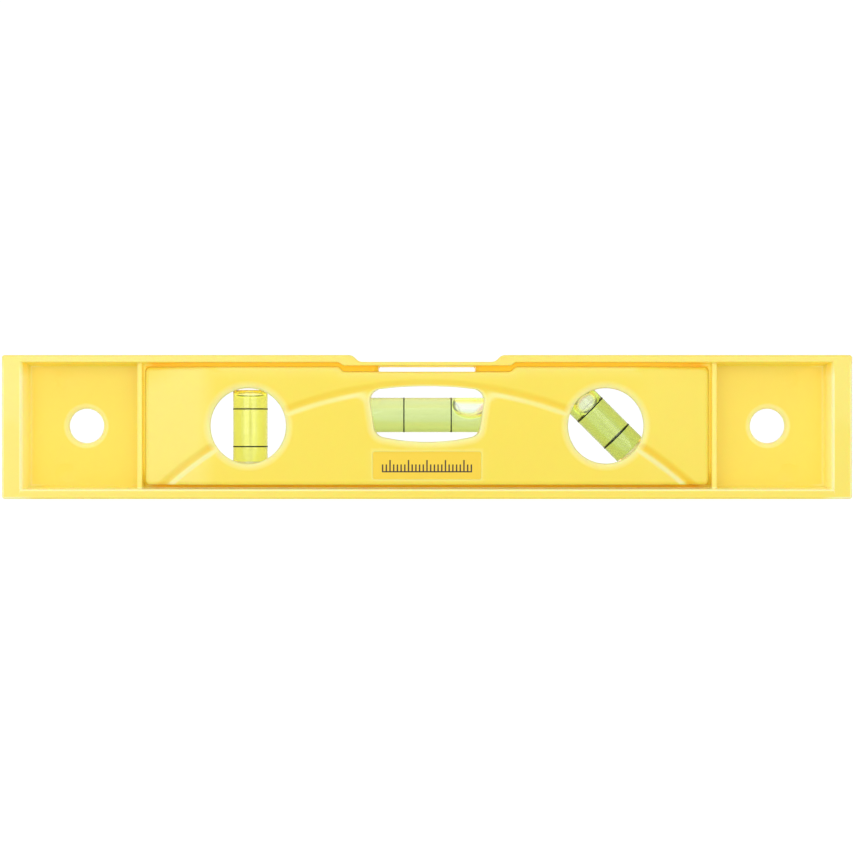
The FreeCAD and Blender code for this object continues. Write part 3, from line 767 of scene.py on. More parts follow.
def body_contours(openings):
    """Lines that the body's mesh has to keep, so that its edges and walls come out crisp."""
    contours = loops(densify(round_corners(frame_corners()), 4))
    contours += loops(*(moved_outline(frame_corners(), -BODY_EDGE * share, 4) for share in EDGE_STEPS[1:]))
    distances = sorted({distance for steps in (END_STEPS, TOP_STEPS, LOW_STEPS) for distance, _ in steps})
    contours += loops(*(moved_outline(bay_corners(), -distance, 4) for distance in distances))
    rib_heights = np.linspace(BOTTOM_RAIL / 2, HEIGHT - TOP_RAIL / 2, 12)
    for place in RIBS:
        for distance, _ in RIB_STEPS:
            for x in (place - distance, place + distance):
                contours.append(([(x, z) for z in rib_heights], False))
    for gap in (LEDGE_GAP, LEDGE_GAP - LEDGE_STEP):
        contours += loops(moved_outline(cover_corners(), gap, 4))
    contours += loops(*(densify(opening, 4) for opening in openings))
    for place in HOLE_PLACES:
        contours += loops(*(circle(place, HOLE_RADIUS + HOLE_ROUND * share) for share in EDGE_STEPS))
    for place in PIN_MARKS:
        contours += loops(*(circle(place, PIN_RADIUS + reach, 48) for reach in (-PIN_EDGE, 0, PIN_EDGE)))
    return contours


def build_frame_body():
    outline = round_corners(frame_corners())
    cover_outline = round_corners(cover_corners())
    roof = below_roof()
    openings = web_openings()
    holes = [circle(place, HOLE_RADIUS) for place in HOLE_PLACES]

    def depth(plan):
        """Depth below the rim: bays, ribs, the ledge round a cover, softened edges, pin marks."""
        x, z = plan.T
        level = follow(HALF_LENGTH - END_WALL - np.abs(x), END_STEPS)
        level = np.minimum(level, follow(z - BOTTOM_RAIL, LOW_STEPS))
        level = np.minimum(level, follow(-signed_distance(roof, plan), TOP_STEPS))
        for place in RIBS:
            level = np.minimum(level, follow(np.abs(x - place), RIB_STEPS))
        ledges = (LEDGE_LOW, LEDGE_SIDE, LEDGE_SIDE, LEDGE_TOP)
        ledge = np.interp(z, GAP_HEIGHTS, ledges) + end_drop(plan)
        beside = np.interp(signed_distance(cover_outline, plan) - LEDGE_GAP, (-LEDGE_STEP, 0), (0, 1))
        beside *= np.abs(x) < RIB_PLACE
        level = np.minimum(level, level + beside * (ledge - level))
        level = level + rounding_edge(-signed_distance(outline, plan), BODY_EDGE)
        for place in HOLE_PLACES:
            level = level + rounding_edge(past_circle(plan, place, HOLE_RADIUS), HOLE_ROUND)
        for place in PIN_MARKS:
            reach = past_circle(plan, place, PIN_RADIUS)
            level = level + PIN_DEPTH * (1 - ease((reach + PIN_EDGE) / (2 * PIN_EDGE)))
        return level

    def near(plan):
        return -HALF_DEPTH + depth(plan)

    def far(plan):
        return plan[:, 0], HALF_DEPTH - depth(plan), plan[:, 1]

    def painted_light(plan, level):
        """Painted light on thin or well lit plastic: the rim, the lower and end walls' mouths, the rib
        crests, the hole rims.
        """
        x, z = plan.T
        rail = np.interp(x, RAIL_PLACES, RAIL_TONES) + TOP_RAIL_TONE * (z > HEIGHT / 2)
        tone = rail * (level < BODY_EDGE + 0.01)
        tone += EDGE_TONE * rounding_edge(-signed_distance(outline, plan), BODY_EDGE) / BODY_EDGE
        wall = np.abs(x) > HALF_LENGTH - END_WALL - 2.5
        wall |= (z < BOTTOM_RAIL + 0.4) & (z > BOTTOM_RAIL - LOW_MOUTH_EDGE)
        wall &= (level > 0.02) & (level < BAY_DEPTH - 0.2) & (z < HEIGHT - TOP_RAIL - 0.8)
        tone = np.maximum(tone, wall * np.clip(1.3 - level / BAY_DEPTH, 0, 1))
        crest = np.abs(np.abs(x) - RIB_PLACE) < RIB_HALF + 0.1
        tone += RIB_TONE * (crest & (level > 1) & (level < RIB_RECESS + 0.3))
        for place in HOLE_PLACES:
            reach = past_circle(plan, place, HOLE_RADIUS)
            tone += RIM_TONE * np.sqrt(np.clip(1 - reach / HOLE_ROUND, 0, 1))
        return tone

    def deep(plan, level):
        """Painted shade in the gap round a cover, which is lit only by what bounces between its two sides.
        """
        beside = np.abs(plan[:, 0]) < COVER_HALF + LEDGE_GAP
        beside &= signed_distance(cover_outline, plan) < 1.6
        across = np.interp(plan[:, 1], GAP_HEIGHTS, GAP_TONES)
        return beside * across * np.interp(level, (LOW_MOUTH_EDGE, LEDGE_TOP), (0, 1))

    def painted_glow(plan, level):
        """A painted glow in the end bays, most of all beside their walls, and in the gap round a cover."""
        from_middle = np.abs(plan[:, 0])
        bay = (from_middle > RIB_PLACE) & (level > 0.5) & (signed_distance(outline, plan) < -1.2)
        tone = bay * (0.35 + 0.65 * np.clip(1 - (HALF_LENGTH - END_WALL - from_middle) / 10, 0, 1))
        gap = (signed_distance(cover_outline, plan) > -0.3) & (from_middle < RIB_PLACE) & (level > 1)
        return np.maximum(tone, gap * np.interp(plan[:, 1], (COVER_BOTTOM, COVER_BOTTOM + 2), (0.6, 0.9)))

    extra = lattice((-HALF_LENGTH, 0), (HALF_LENGTH, HEIGHT), 3)
    inside = material_inside(outline, openings + holes)
    piece = moulding("frame_body_moulding", body_contours(openings), extra, inside, near, far)
    cut_reading_window(piece)
    mark_tones(piece, painted_light, deep, painted_glow)
    return piece


def cut_reading_window(piece):
    """The window down through the thin rail, with a softened mouth."""
    layers = [(-3, 0.0), (-0.3, 0.0), (-0.1, 0.08), (0, 0.3), (0.5, 0.8)]
    corners = rectangle((-SLOT_HALF, -READING_HALF), (SLOT_HALF, READING_HALF), READING_CORNER)
    rings = [moved_outline(corners, grow) for _, grow in layers]
    count = len(rings[0])
    vertices = [(x, y, NOTCH_Z + rise) for (rise, _), ring in zip(layers, rings) for x, y in ring]
    faces = [tuple(range(count))[::-1], tuple(range(len(vertices) - count, len(vertices)))]
    for low in range(0, len(vertices) - count, count):
        for i in range(count):
            j = (i + 1) % count
            faces.append((low + i, low + j, low + count + j, low + count + i))
    cutter = new_piece("reading_cutter", vertices, faces, smooth=False)
    modifier = piece.modifiers.new("Reading window", "BOOLEAN")
    modifier.object = cutter
    modifier.operation = "DIFFERENCE"
    modifier.solver = "EXACT"
    bpy.context.view_layer.update()
    graph = bpy.context.evaluated_depsgraph_get()
    cut = bpy.data.meshes.new_from_object(piece.evaluated_get(graph))
    piece.modifiers.remove(modifier)
    piece.data = cut
    bpy.data.objects.remove(cutter)


# ---------------------------------------------------------------- cover plates


def end_drop(plan):
    """How far the face has fallen towards the ends: a short bend, then a straight slope."""
    run = COVER_HALF - END_START
    fall = END_DROP / (run - END_BEND / 2)
    reach = np.clip(np.abs(plan[:, 0]) - END_START, 0, None)
    bent = np.minimum(reach, END_BEND)
    return fall * (bent**2 / (2 * END_BEND) + reach - bent)


def ring_drop(reach, width, drop):
    """A window's softened rim, steepest at the window's edge."""
    share = np.clip(1 - reach / width, 0, 1)
    return drop * share * share


def steep(distance, start, run):
    """1 up to start, 0 beyond start + run."""
    return np.interp(distance - start, (0, run), (1, 0))


def past_arch(plan):
    """Distance of each point above the arched groove's floor line."""
    return past_circle(plan, (0, ARCH_Z), ARCH_FLOOR)


def past_foot(plan, middle):
    """The same, bent round the middle window so that the groove runs into its lower corners."""
    return blend_max(past_arch(plan), -signed_distance(middle, plan), SHOULDER)


def arch_contours():
    """Arcs along the groove, from its lower wall to the end of its upper slope."""
    lower = np.linspace(ARCH_FLOOR - ARCH_WALL, ARCH_FLOOR, 9)
    upper = np.linspace(ARCH_FLOOR, ARCH_FLOOR + ARCH_SLOPE, 9)[1:]
    reach = math.asin((COVER_HALF + 2) / ARCH_FLOOR)
    turn = np.linspace(-reach, reach, 220)
    contours = []
    for radius in np.concatenate([lower, upper]):
        line = np.stack([radius * np.sin(turn), ARCH_Z + radius * np.cos(turn)], axis=1)
        contours.append((line[line[:, 1] > COVER_BOTTOM - 1], False))
    return contours


def cover_contours(window_radius, collar_outer, relief, post_radius, socketed):
    """Lines that a cover's mesh has to keep, so that its edges and steps come out crisp."""
    contours = loops(densify(round_corners(cover_corners()), 3))
    contours += loops(*(moved_outline(cover_corners(), -COVER_EDGE * share, 2) for share in EDGE_STEPS[1:]))
    contours += loops(*(moved_outline(cover_corners(), -COVER_WALL - run, 3) for run in (0, WALL_RUN)))
    radii = [window_radius + WINDOW_BEVEL * share for share in np.linspace(0, 1, 8)]
    radii += [collar_outer, collar_outer + WALL_RUN]
    for place in WINDOWS:
        contours += loops(*(circle(place, radius, 128) for radius in radii))
    contours += loops(middle_window(relief))
    for grow in (0.3, 0.6, 0.9, COLLAR_WALL, COLLAR_WALL + WALL_RUN, 1.6, 1.9, 2.2):
        contours += loops(densify(middle_window(relief + grow), 1.0))
    contours += arch_contours()
    for grow in (-LABEL_EDGE, -LABEL_EDGE * 0.6, -LABEL_EDGE * 0.2, 0.0, 0.1):
        contours += loops(moved_outline(label_corners(), grow, 2))
    for vial in VIALS.values():
        contours += seat_contours(vial)
    for x in (-SLOT_HALF - OPENING_RUN, -SLOT_HALF, SLOT_HALF, SLOT_HALF + OPENING_RUN):
        contours.append(([(x, z) for z in np.linspace(LEVEL_Z, COVER_TOP, 14)], False))
    radii = [post_radius, post_radius + POST_RUN]
    if socketed:
        radii += [SOCKET_RADIUS - SOCKET_RUN, SOCKET_RADIUS]
    for place in PEGS:
        contours += loops(*(circle(place, radius, 40) for radius in radii))
    return contours


def flared(plan, window_radius, inner_radius, collar_outer):
    """Plan places of the inner side: the round windows' bores lean to another radius there."""
    for place in WINDOWS:
        radius = past_circle(plan, place, 0)
        flare = np.interp(radius, (window_radius, collar_outer), (inner_radius, collar_outer)) / radius
        flare = np.where(radius < collar_outer, flare, 1)
        plan = plan + (plan - place) * (flare - 1)[:, None]
    return plan.T


def build_cover(name, side):
    """side 1 is the front cover with pegs, -1 the rear one with sockets and wider windows."""
    rear = side < 0
    window_radius = WINDOW_RADIUS + (2 * SIGHT_FLARE if rear else 0)
    inner_radius = WINDOW_RADIUS + SIGHT_FLARE + (0.1 if rear else 0)
    collar_outer = max(window_radius, inner_radius) + COLLAR_WALL
    post_radius = PEG_RADIUS + (SOCKET_WALL if rear else 0)
    post_top = -MID_GAP if rear else PEG_REACH
    relief = MIDDLE_RELIEF if rear else 0.0
    outline = round_corners(cover_corners())
    middle = middle_window(relief)
    rounds = [circle(place, window_radius, 128) for place in WINDOWS]
    label_outline = round_corners(label_corners())

    def near(plan):
        """The face: groove, softened window rims and edge, label recess, falling ends."""
        deepen = ease((np.abs(plan[:, 0]) - WINDOW_X + WINDOW_RADIUS) / (2 * WINDOW_RADIUS))
        groove = ARCH_DEPTH + (ARCH_END_DEPTH - ARCH_DEPTH) * deepen
        groove *= ease((past_foot(plan, middle) + ARCH_WALL) / ARCH_WALL)
        groove *= 1 - ease(past_arch(plan) / ARCH_SLOPE)
        ring = ring_drop(signed_distance(middle, plan), MIDDLE_LIP, MIDDLE_LIP / 2)
        for place in WINDOWS:
            reach = past_circle(plan, place, window_radius)
            ring = np.maximum(ring, ring_drop(reach, WINDOW_BEVEL, WINDOW_DROP))
        depth = blend_max(groove, ring, 0.2)
        depth += rounding_edge(-signed_distance(outline, plan), COVER_EDGE)
        depth += LABEL_RECESS * ease(-signed_distance(label_outline, plan) / LABEL_EDGE)
        return -COVER_FACE + (depth + end_drop(plan))

    def far(plan):
        """The inner side: floor, skirt, collars, vial seats, level opening, pegs or sockets."""
        floor = -COVER_FACE + FACE_THICK + end_drop(plan)
        skirt = steep(-signed_distance(outline, plan), COVER_WALL, WALL_RUN)
        level = floor + skirt * (-WEB_HALF - floor)
        collar = steep(signed_distance(middle, plan), COLLAR_WALL, WALL_RUN)
        for place in WINDOWS:
            collar = np.maximum(collar, steep(past_circle(plan, place, collar_outer), 0, WALL_RUN))
        level = np.maximum(level, level + collar * (-MID_GAP - level))
        level = np.maximum(np.minimum(level, -seat_depth(plan)), floor)
        opened = steep(np.abs(plan[:, 0]), SLOT_HALF, OPENING_RUN)
        opened *= np.interp(plan[:, 1] - LEVEL_Z, (-OPENING_RUN, 0), (0, 1))
        level += opened * (np.minimum(level, -READING_HALF) - level)
        for place in PEGS:
            reach = past_circle(plan, place, 0)
            level = np.maximum(level, level + steep(reach, post_radius, POST_RUN) * (post_top - level))
            if rear:
                bore = steep(reach, SOCKET_RADIUS - SOCKET_RUN, SOCKET_RUN)
                level += bore * (-PEG_REACH - SOCKET_SPARE - level)
        x, z = flared(plan, window_radius, inner_radius, collar_outer)
        return x, level, z

    def painted_light(plan, level):
        """Painted highlight on the window rims, the groove's lower wall, the edge and the sloping ends."""
        x, z = plan.T
        rim_width = np.interp(z, (COVER_TOP - 9, COVER_TOP - 6), (2.1, 0.5))
        tone = RIM_TONE * np.clip(1 - signed_distance(middle, plan) / rim_width, 0, 1)
        for place in WINDOWS:
            reach = past_circle(plan, place, window_radius)
            tone = np.maximum(tone, RIM_TONE * np.clip(1 - reach / WINDOW_BEVEL, 0, 1))
        foot = np.clip(1.4 - 1.4 * np.abs(past_foot(plan, middle) + 0.9) / 0.9, 0, 1)
        tone = np.maximum(tone, np.interp(np.abs(x), FOOT_PLACES, FOOT_TONES) * foot)
        beside_label = np.clip(1 - np.abs(signed_distance(label_outline, plan)) / 0.6, 0, 1)
        tone = np.maximum(tone, LABEL_TONE * beside_label)
        from_edge = -signed_distance(outline, plan)
        tone = np.maximum(tone, EDGE_TONE * rounding_edge(from_edge, COVER_EDGE) / COVER_EDGE)
        top_lip = (z > COVER_TOP - 5) * (np.abs(x) < END_START)
        tone = np.maximum(tone, top_lip * TOP_LIP_TONE * np.clip(1 - from_edge / 2.4, 0, 1))
        # Painted highlight on the sloping ends, held back near the top corners where the rail's shadow
        # falls.
        bend = (-END_START - END_BEND, -END_START, END_START, END_START + END_BEND)
        corner = (COVER_HALF - np.abs(x)) / 1.5 + COVER_TOP - z
        return tone + np.interp(x, bend, END_TONES) * ease(corner / 9)

    def deep(plan, level):
        """Painted shade on the groove's floor."""
        strength = np.interp(np.abs(plan[:, 0]), FLOOR_PLACES, FLOOR_TONES)
        return strength * np.clip(1 - np.abs(past_arch(plan) - 0.7) / 1.3, 0, 1)

    def painted_glow(plan, level):
        """A painted glow on the inner side, except the foot of the cover's two end walls."""
        behind = level > HALF_DEPTH - COVER_FACE + FACE_THICK + end_drop(plan) - 0.05
        at_edge = -signed_distance(outline, plan) < COVER_WALL + 0.05
        return behind & ~(at_edge & (np.abs(plan[:, 0]) > COVER_HALF - 2))

    contours = cover_contours(window_radius, collar_outer, relief, post_radius, rear)
    extra = lattice((-COVER_HALF, COVER_BOTTOM), (COVER_HALF, COVER_TOP), 1.6)
    inside = material_inside(outline, rounds + [middle])
    piece = moulding(name, contours, extra, inside, near, far, side)
    mark_tones(piece, painted_light, deep, painted_glow)
    return piece


# ---------------------------------------------------------------- vials


def barrel(x, half):
    """Radius of the bore, a little wider in the middle so that the bubble finds it."""
    return BORE_END_RADIUS + (BORE_RADIUS - BORE_END_RADIUS) * (1 - min(1, (x / half) ** 2))


def corner_arc(x, radius, size, way, count=7):
    """A rounded shoulder that ends a turned shape at x: from its wall (x, radius) to its face."""
    return [(x - way * size * (1 - sine), radius - size * rise) for sine, rise in quarter_turn(count)]


def tube_profile(vial):
    """Bore floor, bore wall, mouth, outer wall and closed end of a vial's tube."""
    half = vial["length"] / 2
    chamber = vial["chamber"]
    bore = corner_arc(chamber, BORE_END_RADIUS, BORE_CORNER, 1)[::-1]
    wall = [(x, barrel(x, chamber)) for x in np.linspace(chamber - BORE_CORNER, -chamber, 24)[1:]]
    mouth = [(-half + MOUTH_CHAMFER, BORE_END_RADIUS), (-half, BORE_END_RADIUS + MOUTH_CHAMFER)]
    open_end = corner_arc(-half, VIAL_RADIUS, TUBE_CORNER, -1)[::-1]
    closed_end = corner_arc(half, VIAL_RADIUS, TUBE_CORNER, 1)
    return [(chamber, 0)] + bore + wall + mouth + open_end + closed_end + [(half, 0)]


def spirit_profile(vial):
    """The liquid fills the chamber and bites into the bore by a hair, so no air shows between."""
    chamber = vial["chamber"] + FILM
    round_start = 0.3
    start = corner_arc(-chamber, BORE_END_RADIUS + FILM, round_start, -1)[::-1]
    places = np.linspace(-chamber + round_start, chamber - BORE_CORNER, 24)[1:-1]
    wall = [(x, barrel(x, chamber) + FILM) for x in places]
    end = corner_arc(chamber, BORE_END_RADIUS + FILM, BORE_CORNER, 1)
    return [(-chamber, 0)] + start + wall + end + [(chamber, 0)]


def plug_profile(vial):
    """The stopper in the open end, with a shallow dimple."""
    face = -vial["length"] / 2 + PLUG_INSET
    chamber = vial["chamber"] + 2 * FILM
    inner = corner_arc(-chamber, BORE_END_RADIUS - PLUG_GAP, 0.2, 1)[::-1]
    outer = corner_arc(face, BORE_END_RADIUS - PLUG_GAP, 0.4, -1)
    dimple = [(face, 1.6), (face + 0.3, 1.3), (face + 0.3, 0)]
    return [(-chamber, 0)] + inner + outer + dimple


def line_profile(middle):
    low, high = VIAL_RADIUS - LINE_DEPTH, VIAL_RADIUS + LINE_PROUD
    left, right = middle - LINE_WIDTH / 2, middle + LINE_WIDTH / 2
    soft = LINE_PROUD * 1.5
    top = [(right, high - soft), (right - soft, high), (left + soft, high), (left, high - soft)]
    return [(left, low), (right, low)] + top


def ring_pair(name, vial, middle, gap):
    """The two printed rings that the bubble is centred between."""
    rings = []
    for number, place in enumerate((middle - gap / 2, middle + gap / 2)):
        rings.append(turned(f"{name}_{number}", line_profile(place), vial_matrix(vial)))
    with bpy.context.temp_override(active_object=rings[0], selected_editable_objects=rings):
        bpy.ops.object.join()
    rings[0].name = name
    return rings[0]


def bubble_piece(name, vial, along, up, half_sizes):
    """A bubble pressed against the bore: an egg shape held inside the bore's round wall."""
    mesh = bmesh.new()
    bmesh.ops.create_uvsphere(mesh, u_segments=96, v_segments=64, radius=1)
    limit = BORE_END_RADIUS - BUBBLE_FILM
    for vertex in mesh.verts:
        x = along + vertex.co.x * half_sizes[0]
        y = vertex.co.y * half_sizes[1]
        z = up + vertex.co.z * half_sizes[2]
        reach = math.hypot(y, z)
        if reach > limit - BUBBLE_SOFT:
            over = (reach - limit + BUBBLE_SOFT) / BUBBLE_SOFT
            held = limit - BUBBLE_SOFT + BUBBLE_SOFT * math.tanh(over)
            y, z = y * held / reach, z * held / reach
        vertex.co = Vector((x, y, z)) * MM
    return placed(name, mesh, vial_matrix(vial))


def build_vial(name):
    vial = VIALS[name]
    place = vial_matrix(vial)
    line_middle = along_across(vial, plan_middle(f"{name}_vial_lines"))[0]
    bubble_along, bubble_up = along_across(vial, plan_middle(f"{name}_vial_bubble"))
    pieces = {
        "tube": turned(f"{name}_tube", tube_profile(vial), place, 128, closed=False),
        "spirit": turned(f"{name}_spirit", spirit_profile(vial), place, 128, closed=False),
        "plug": turned(f"{name}_plug", plug_profile(vial), place, closed=False),
        "lines": ring_pair(f"{name}_lines", vial, line_middle, LINE_GAPS[name]),
        "bubble": bubble_piece(f"{name}_bubble_air", vial, bubble_along, bubble_up, BUBBLES[name]),
    }
    for part, piece in pieces.items():
        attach(piece, f"{name}_bubble" if part == "bubble" else "frame")
        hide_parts(f"{name}_vial_{part}")
    return pieces


# ---------------------------------------------------------------- printed label


def tick_boxes():
    """Lowest and highest corner of each mark of a plain scale, and of the line it stands on."""
    middle_x = (label_low[0] + label_high[0]) / 2
    foot = (label_low[2] + label_high[2]) / 2 - TICK_LONG / 2
    boxes = []
    for number in range(-TICKS, TICKS + 1):
        x = middle_x + number * TICK_PITCH
        tall = TICK_LONG if number % 5 == 0 else TICK_SHORT
        boxes.append(((x - TICK_HALF, foot), (x + TICK_HALF, foot + tall)))
    half = TICKS * TICK_PITCH + TICK_HALF
    boxes.append(((middle_x - half, foot - BASE_LINE), (middle_x + half, foot)))
    return boxes


def build_label():
    """A thin plate in the cover's recess, printed with a plain tick scale."""
    corners = rectangle(label_low[[0, 2]], label_high[[0, 2]], LABEL_CORNER)
    outline = round_corners(corners)
    face = label_low[1]
    back = label_high[1]
    ticks = tick_boxes()
    contours = loops(outline)
    contours += loops(*(moved_outline(corners, -PLATE_EDGE * share) for share in EDGE_STEPS[1:]))
    contours += loops(*(round_corners(rectangle(low, high)) for low, high in ticks))

    def near(plan):
        return face + rounding_edge(-signed_distance(outline, plan), PLATE_EDGE)

    def far(plan):
        return plan[:, 0], np.full(len(plan), back), plan[:, 1]

    recess = label_corners()
    extra = lattice(recess[0][:2], recess[2][:2], 2)
    piece = moulding("label_plate", contours, extra, material_inside(outline), near, far)
    paint(piece, None, None)
    for polygon in piece.data.polygons:
        x, y, z = polygon.center / MM
        if y < (face + back) / 2 and polygon.normal.y < -0.5:
            inked = any(low[0] < x < high[0] and low[1] < z < high[1] for low, high in ticks)
            polygon.material_index = int(inked)
    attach(piece, "frame")
    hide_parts("front_label")
    return piece


# ---------------------------------------------------------------- assemble pieces

frame_piece = build_frame_body()
front_piece = build_cover("front_cover_moulding", 1)
rear_piece = build_cover("rear_cover_moulding", -1)
for piece, node in ((frame_piece, "frame_body"), (front_piece, "front_cover"), (rear_piece, "rear_cover")):
    keep_flats_flat(piece)
    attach(piece, "frame")
    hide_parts(node)
label_piece = build_label()
vial_pieces = {name: build_vial(name) for name in VIALS}

# ---------------------------------------------------------------- materials

YELLOW = (0.94, 0.76, 0.085, 1)
YELLOW_DEEP = (0.93, 0.735, 0.070, 1)
# A painted glow for light that has soaked in behind the covers: through a vial it glows, seen directly it
# is faint.
PAINTED_GLOW_COLOUR = (1.0, 0.55, 0.06, 1)
PAINTED_GLOW_THROUGH = 0.8
PAINTED_GLOW_SEEN = 0.12
# Painted highlight colour and painted shade colour, which the stored tones mix in.
PAINTED_LIGHT_YELLOW = (0.98, 0.93, 0.43, 1)
PAINTED_SHADE_ORANGE = (1.0, 0.53, 0.0, 1)
# The bubble thins the liquid in front of it, so it looks nearly white. Its veil is a painted glow and its
# green-gold rim a painted reflection.
BUBBLE_TINT = (0.78, 0.78, 1.0, 1)
BUBBLE_PAINTED_GLOW = (0.50, 0.45, 1.0, 1)
BUBBLE_RIM_REFLECTION = (0.65, 0.80, 0.06, 1)
BUBBLE_GLOW_STRENGTH = 0.45
ACRYLIC = (1.0, 1.0, 0.985, 1)
LABEL_YELLOW = (0.95, 0.67, 0.042, 1)
LABEL_YELLOW_DEEP = (0.93, 0.65, 0.038, 1)
BROWN_INK = (0.045, 0.026, 0.012, 1)
LINE_INK = (0.006, 0.016, 0.001, 1)
PLUG_PALE = (0.70, 0.72, 0.40, 1)
PLASTIC_IOR = 1.55
ACRYLIC_IOR = 1.49
SPIRIT_IOR = 1.36
CLEAR_GLOSS = 0.1
# Tint at the bottom and at the top of each vial: the paler top is painted light.
TINTS = {
    "level": ((0.53, 0.67, 0.16, 1), (0.81, 0.92, 0.44, 1)),
    "plumb": ((0.78, 0.78, 0.13, 1), (0.82, 0.82, 0.14, 1)),
    "angle": ((0.52, 0.63, 0.13, 1), (0.57, 0.68, 0.16, 1)),
}


class Shader:
    """A material's node tree, with short calls for adding and joining nodes."""

    def __init__(self, name):
        self.material = bpy.data.materials.new(name)
        self.material.use_nodes = True
        self.tree = self.material.node_tree
        self.surface = self.tree.nodes["Principled BSDF"]
        self.place = self.add("ShaderNodeTexCoord").outputs["Object"]

    def add(self, kind, inputs=None, **settings):
        node = self.tree.nodes.new(kind)
        for key, value in settings.items():
            setattr(node, key, value)
        for key, value in (inputs or {}).items():
            node.inputs[key].default_value = value
        return node

    def join(self, output, target):
        self.tree.links.new(output, target)

    def noise(self, scale, detail=2.0):
        node = self.add("ShaderNodeTexNoise", {"Scale": scale, "Detail": detail})
        self.join(self.place, node.inputs["Vector"])
        return node.outputs["Fac"]

    def spread(self, value, low, high):
        """Maps a 0 to 1 pattern to low to high."""
        node = self.add("ShaderNodeMapRange", {"To Min": low, "To Max": high})
        self.join(value, node.inputs["Value"])
        return node.outputs["Result"]

    def stored(self, name):
        """A value kept on the mesh's points."""
        return self.add("ShaderNodeAttribute", attribute_name=name).outputs["Fac"]

    def tone(self, factor, first, second):
        """Mixes two colours, each a fixed one or another node's output."""
        node = self.add("ShaderNodeMix", data_type="RGBA")
        sockets = [socket for socket in node.inputs if socket.type == "RGBA"]
        for colour, socket in zip((first, second), sockets):
            if isinstance(colour, tuple):
                socket.default_value = colour
            else:
                self.join(colour, socket)
        self.join(factor, node.inputs["Factor"])
        return next(socket for socket in node.outputs if socket.type == "RGBA")

    def bump(self, height, strength, distance):
        node = self.add("ShaderNodeBump", {"Strength": strength, "Distance": distance})
        self.join(height, node.inputs["Height"])
        self.join(node.outputs["Normal"], self.surface.inputs["Normal"])

    def light_through(self, tint):
        """Lets lamps shine through clear parts instead of casting a black shadow."""
        clear = self.add("ShaderNodeBsdfTransparent", {"Color": tint})
        ray = self.add("ShaderNodeLightPath")
        mix = self.add("ShaderNodeMixShader")
        self.join(ray.outputs["Is Shadow Ray"], mix.inputs[0])
        self.join(self.surface.outputs["BSDF"], mix.inputs[1])
        self.join(clear.outputs["BSDF"], mix.inputs[2])
        self.join(mix.outputs["Shader"], self.tree.nodes["Material Output"].inputs["Surface"])


def moulded_plastic(name, colour, deep, see_in=0.4):
    """Semi-gloss moulded plastic: fine grain, a faint flow of tone, slight see-through depth, with painted
    shade, painted highlight and a painted glow read from the mesh.
    """
    shader = Shader(name)
    surface = shader.surface
    drift = shader.spread(shader.noise(28.0, 3.0), 0.0, 0.5)
    plain = shader.tone(drift, colour, deep)
    # Painted shade towards orange, painted highlight towards pale yellow, and below them a painted glow,
    # all from the stored tones.
    shaded = shader.tone(shader.stored("deep"), plain, PAINTED_SHADE_ORANGE)
    lit = shader.tone(shader.stored("painted_light"), shaded, PAINTED_LIGHT_YELLOW)
    shader.join(lit, surface.inputs["Base Color"])
    surface.inputs["Emission Color"].default_value = PAINTED_GLOW_COLOUR
    through = shader.add("ShaderNodeLightPath").outputs["Is Transmission Ray"]
    painted_glow = shader.add("ShaderNodeMath", operation="MULTIPLY")
    shader.join(shader.spread(through, PAINTED_GLOW_SEEN, PAINTED_GLOW_THROUGH), painted_glow.inputs[0])
    shader.join(shader.stored("painted_glow"), painted_glow.inputs[1])
    shader.join(painted_glow.outputs["Value"], surface.inputs["Emission Strength"])
    shader.join(shader.spread(shader.noise(160.0), 0.26, 0.38), surface.inputs["Roughness"])
    shader.join(shader.spread(shader.stored("deep"), 0.5, 0.1), surface.inputs["Specular IOR Level"])
    shader.bump(shader.noise(3200.0), 0.10, 0.00002)
    surface.inputs["IOR"].default_value = PLASTIC_IOR
    surface.inputs["Subsurface Weight"].default_value = see_in
    surface.inputs["Subsurface Radius"].default_value = (1.0, 0.45, 0.1)
    surface.inputs["Subsurface Scale"].default_value = 0.0012
    return shader.material


def clear_material(name, ior, tint, rough=0.01):
    """Clear acrylic or air."""
    paler = tuple(min(1, value * 1.02) for value in tint[:3]) + (1,)
    shader = Shader(name)
    return finish_clear(shader, shader.noise(90.0), ior, tint, paler, rough)


def air_material(name):
    """A bubble: clear, with a pale painted glow where it thins the liquid and a green-gold painted
    reflection at its rim.
    """
    shader = Shader(name)
    facing = shader.add("ShaderNodeLayerWeight", {"Blend": 0.5}).outputs["Facing"]
    rim = shader.add("ShaderNodeMapRange", {"From Min": 0.25, "From Max": 0.6})
    shader.join(facing, rim.inputs["Value"])
    bubble_glow = shader.tone(rim.outputs["Result"], BUBBLE_PAINTED_GLOW, BUBBLE_RIM_REFLECTION)
    shader.join(bubble_glow, shader.surface.inputs["Emission Color"])
    shader.surface.inputs["Emission Strength"].default_value = BUBBLE_GLOW_STRENGTH
    return finish_clear(shader, shader.noise(90.0), 1 / SPIRIT_IOR, BUBBLE_TINT, BUBBLE_TINT, 0.0)


def spirit_material(name, low, high, low_tint, high_tint):
    """Tinted liquid, with painted light making it paler towards the top of the vial where more light comes
    in.
    """
    shader = Shader(name)
    split = shader.add("ShaderNodeSeparateXYZ")
    shader.join(shader.place, split.inputs["Vector"])
    rise = shader.add("ShaderNodeMapRange", {"From Min": low * MM, "From Max": high * MM})
    shader.join(split.outputs["Z"], rise.inputs["Value"])
    return finish_clear(shader, rise.outputs["Result"], SPIRIT_IOR, low_tint, high_tint, 0.01)


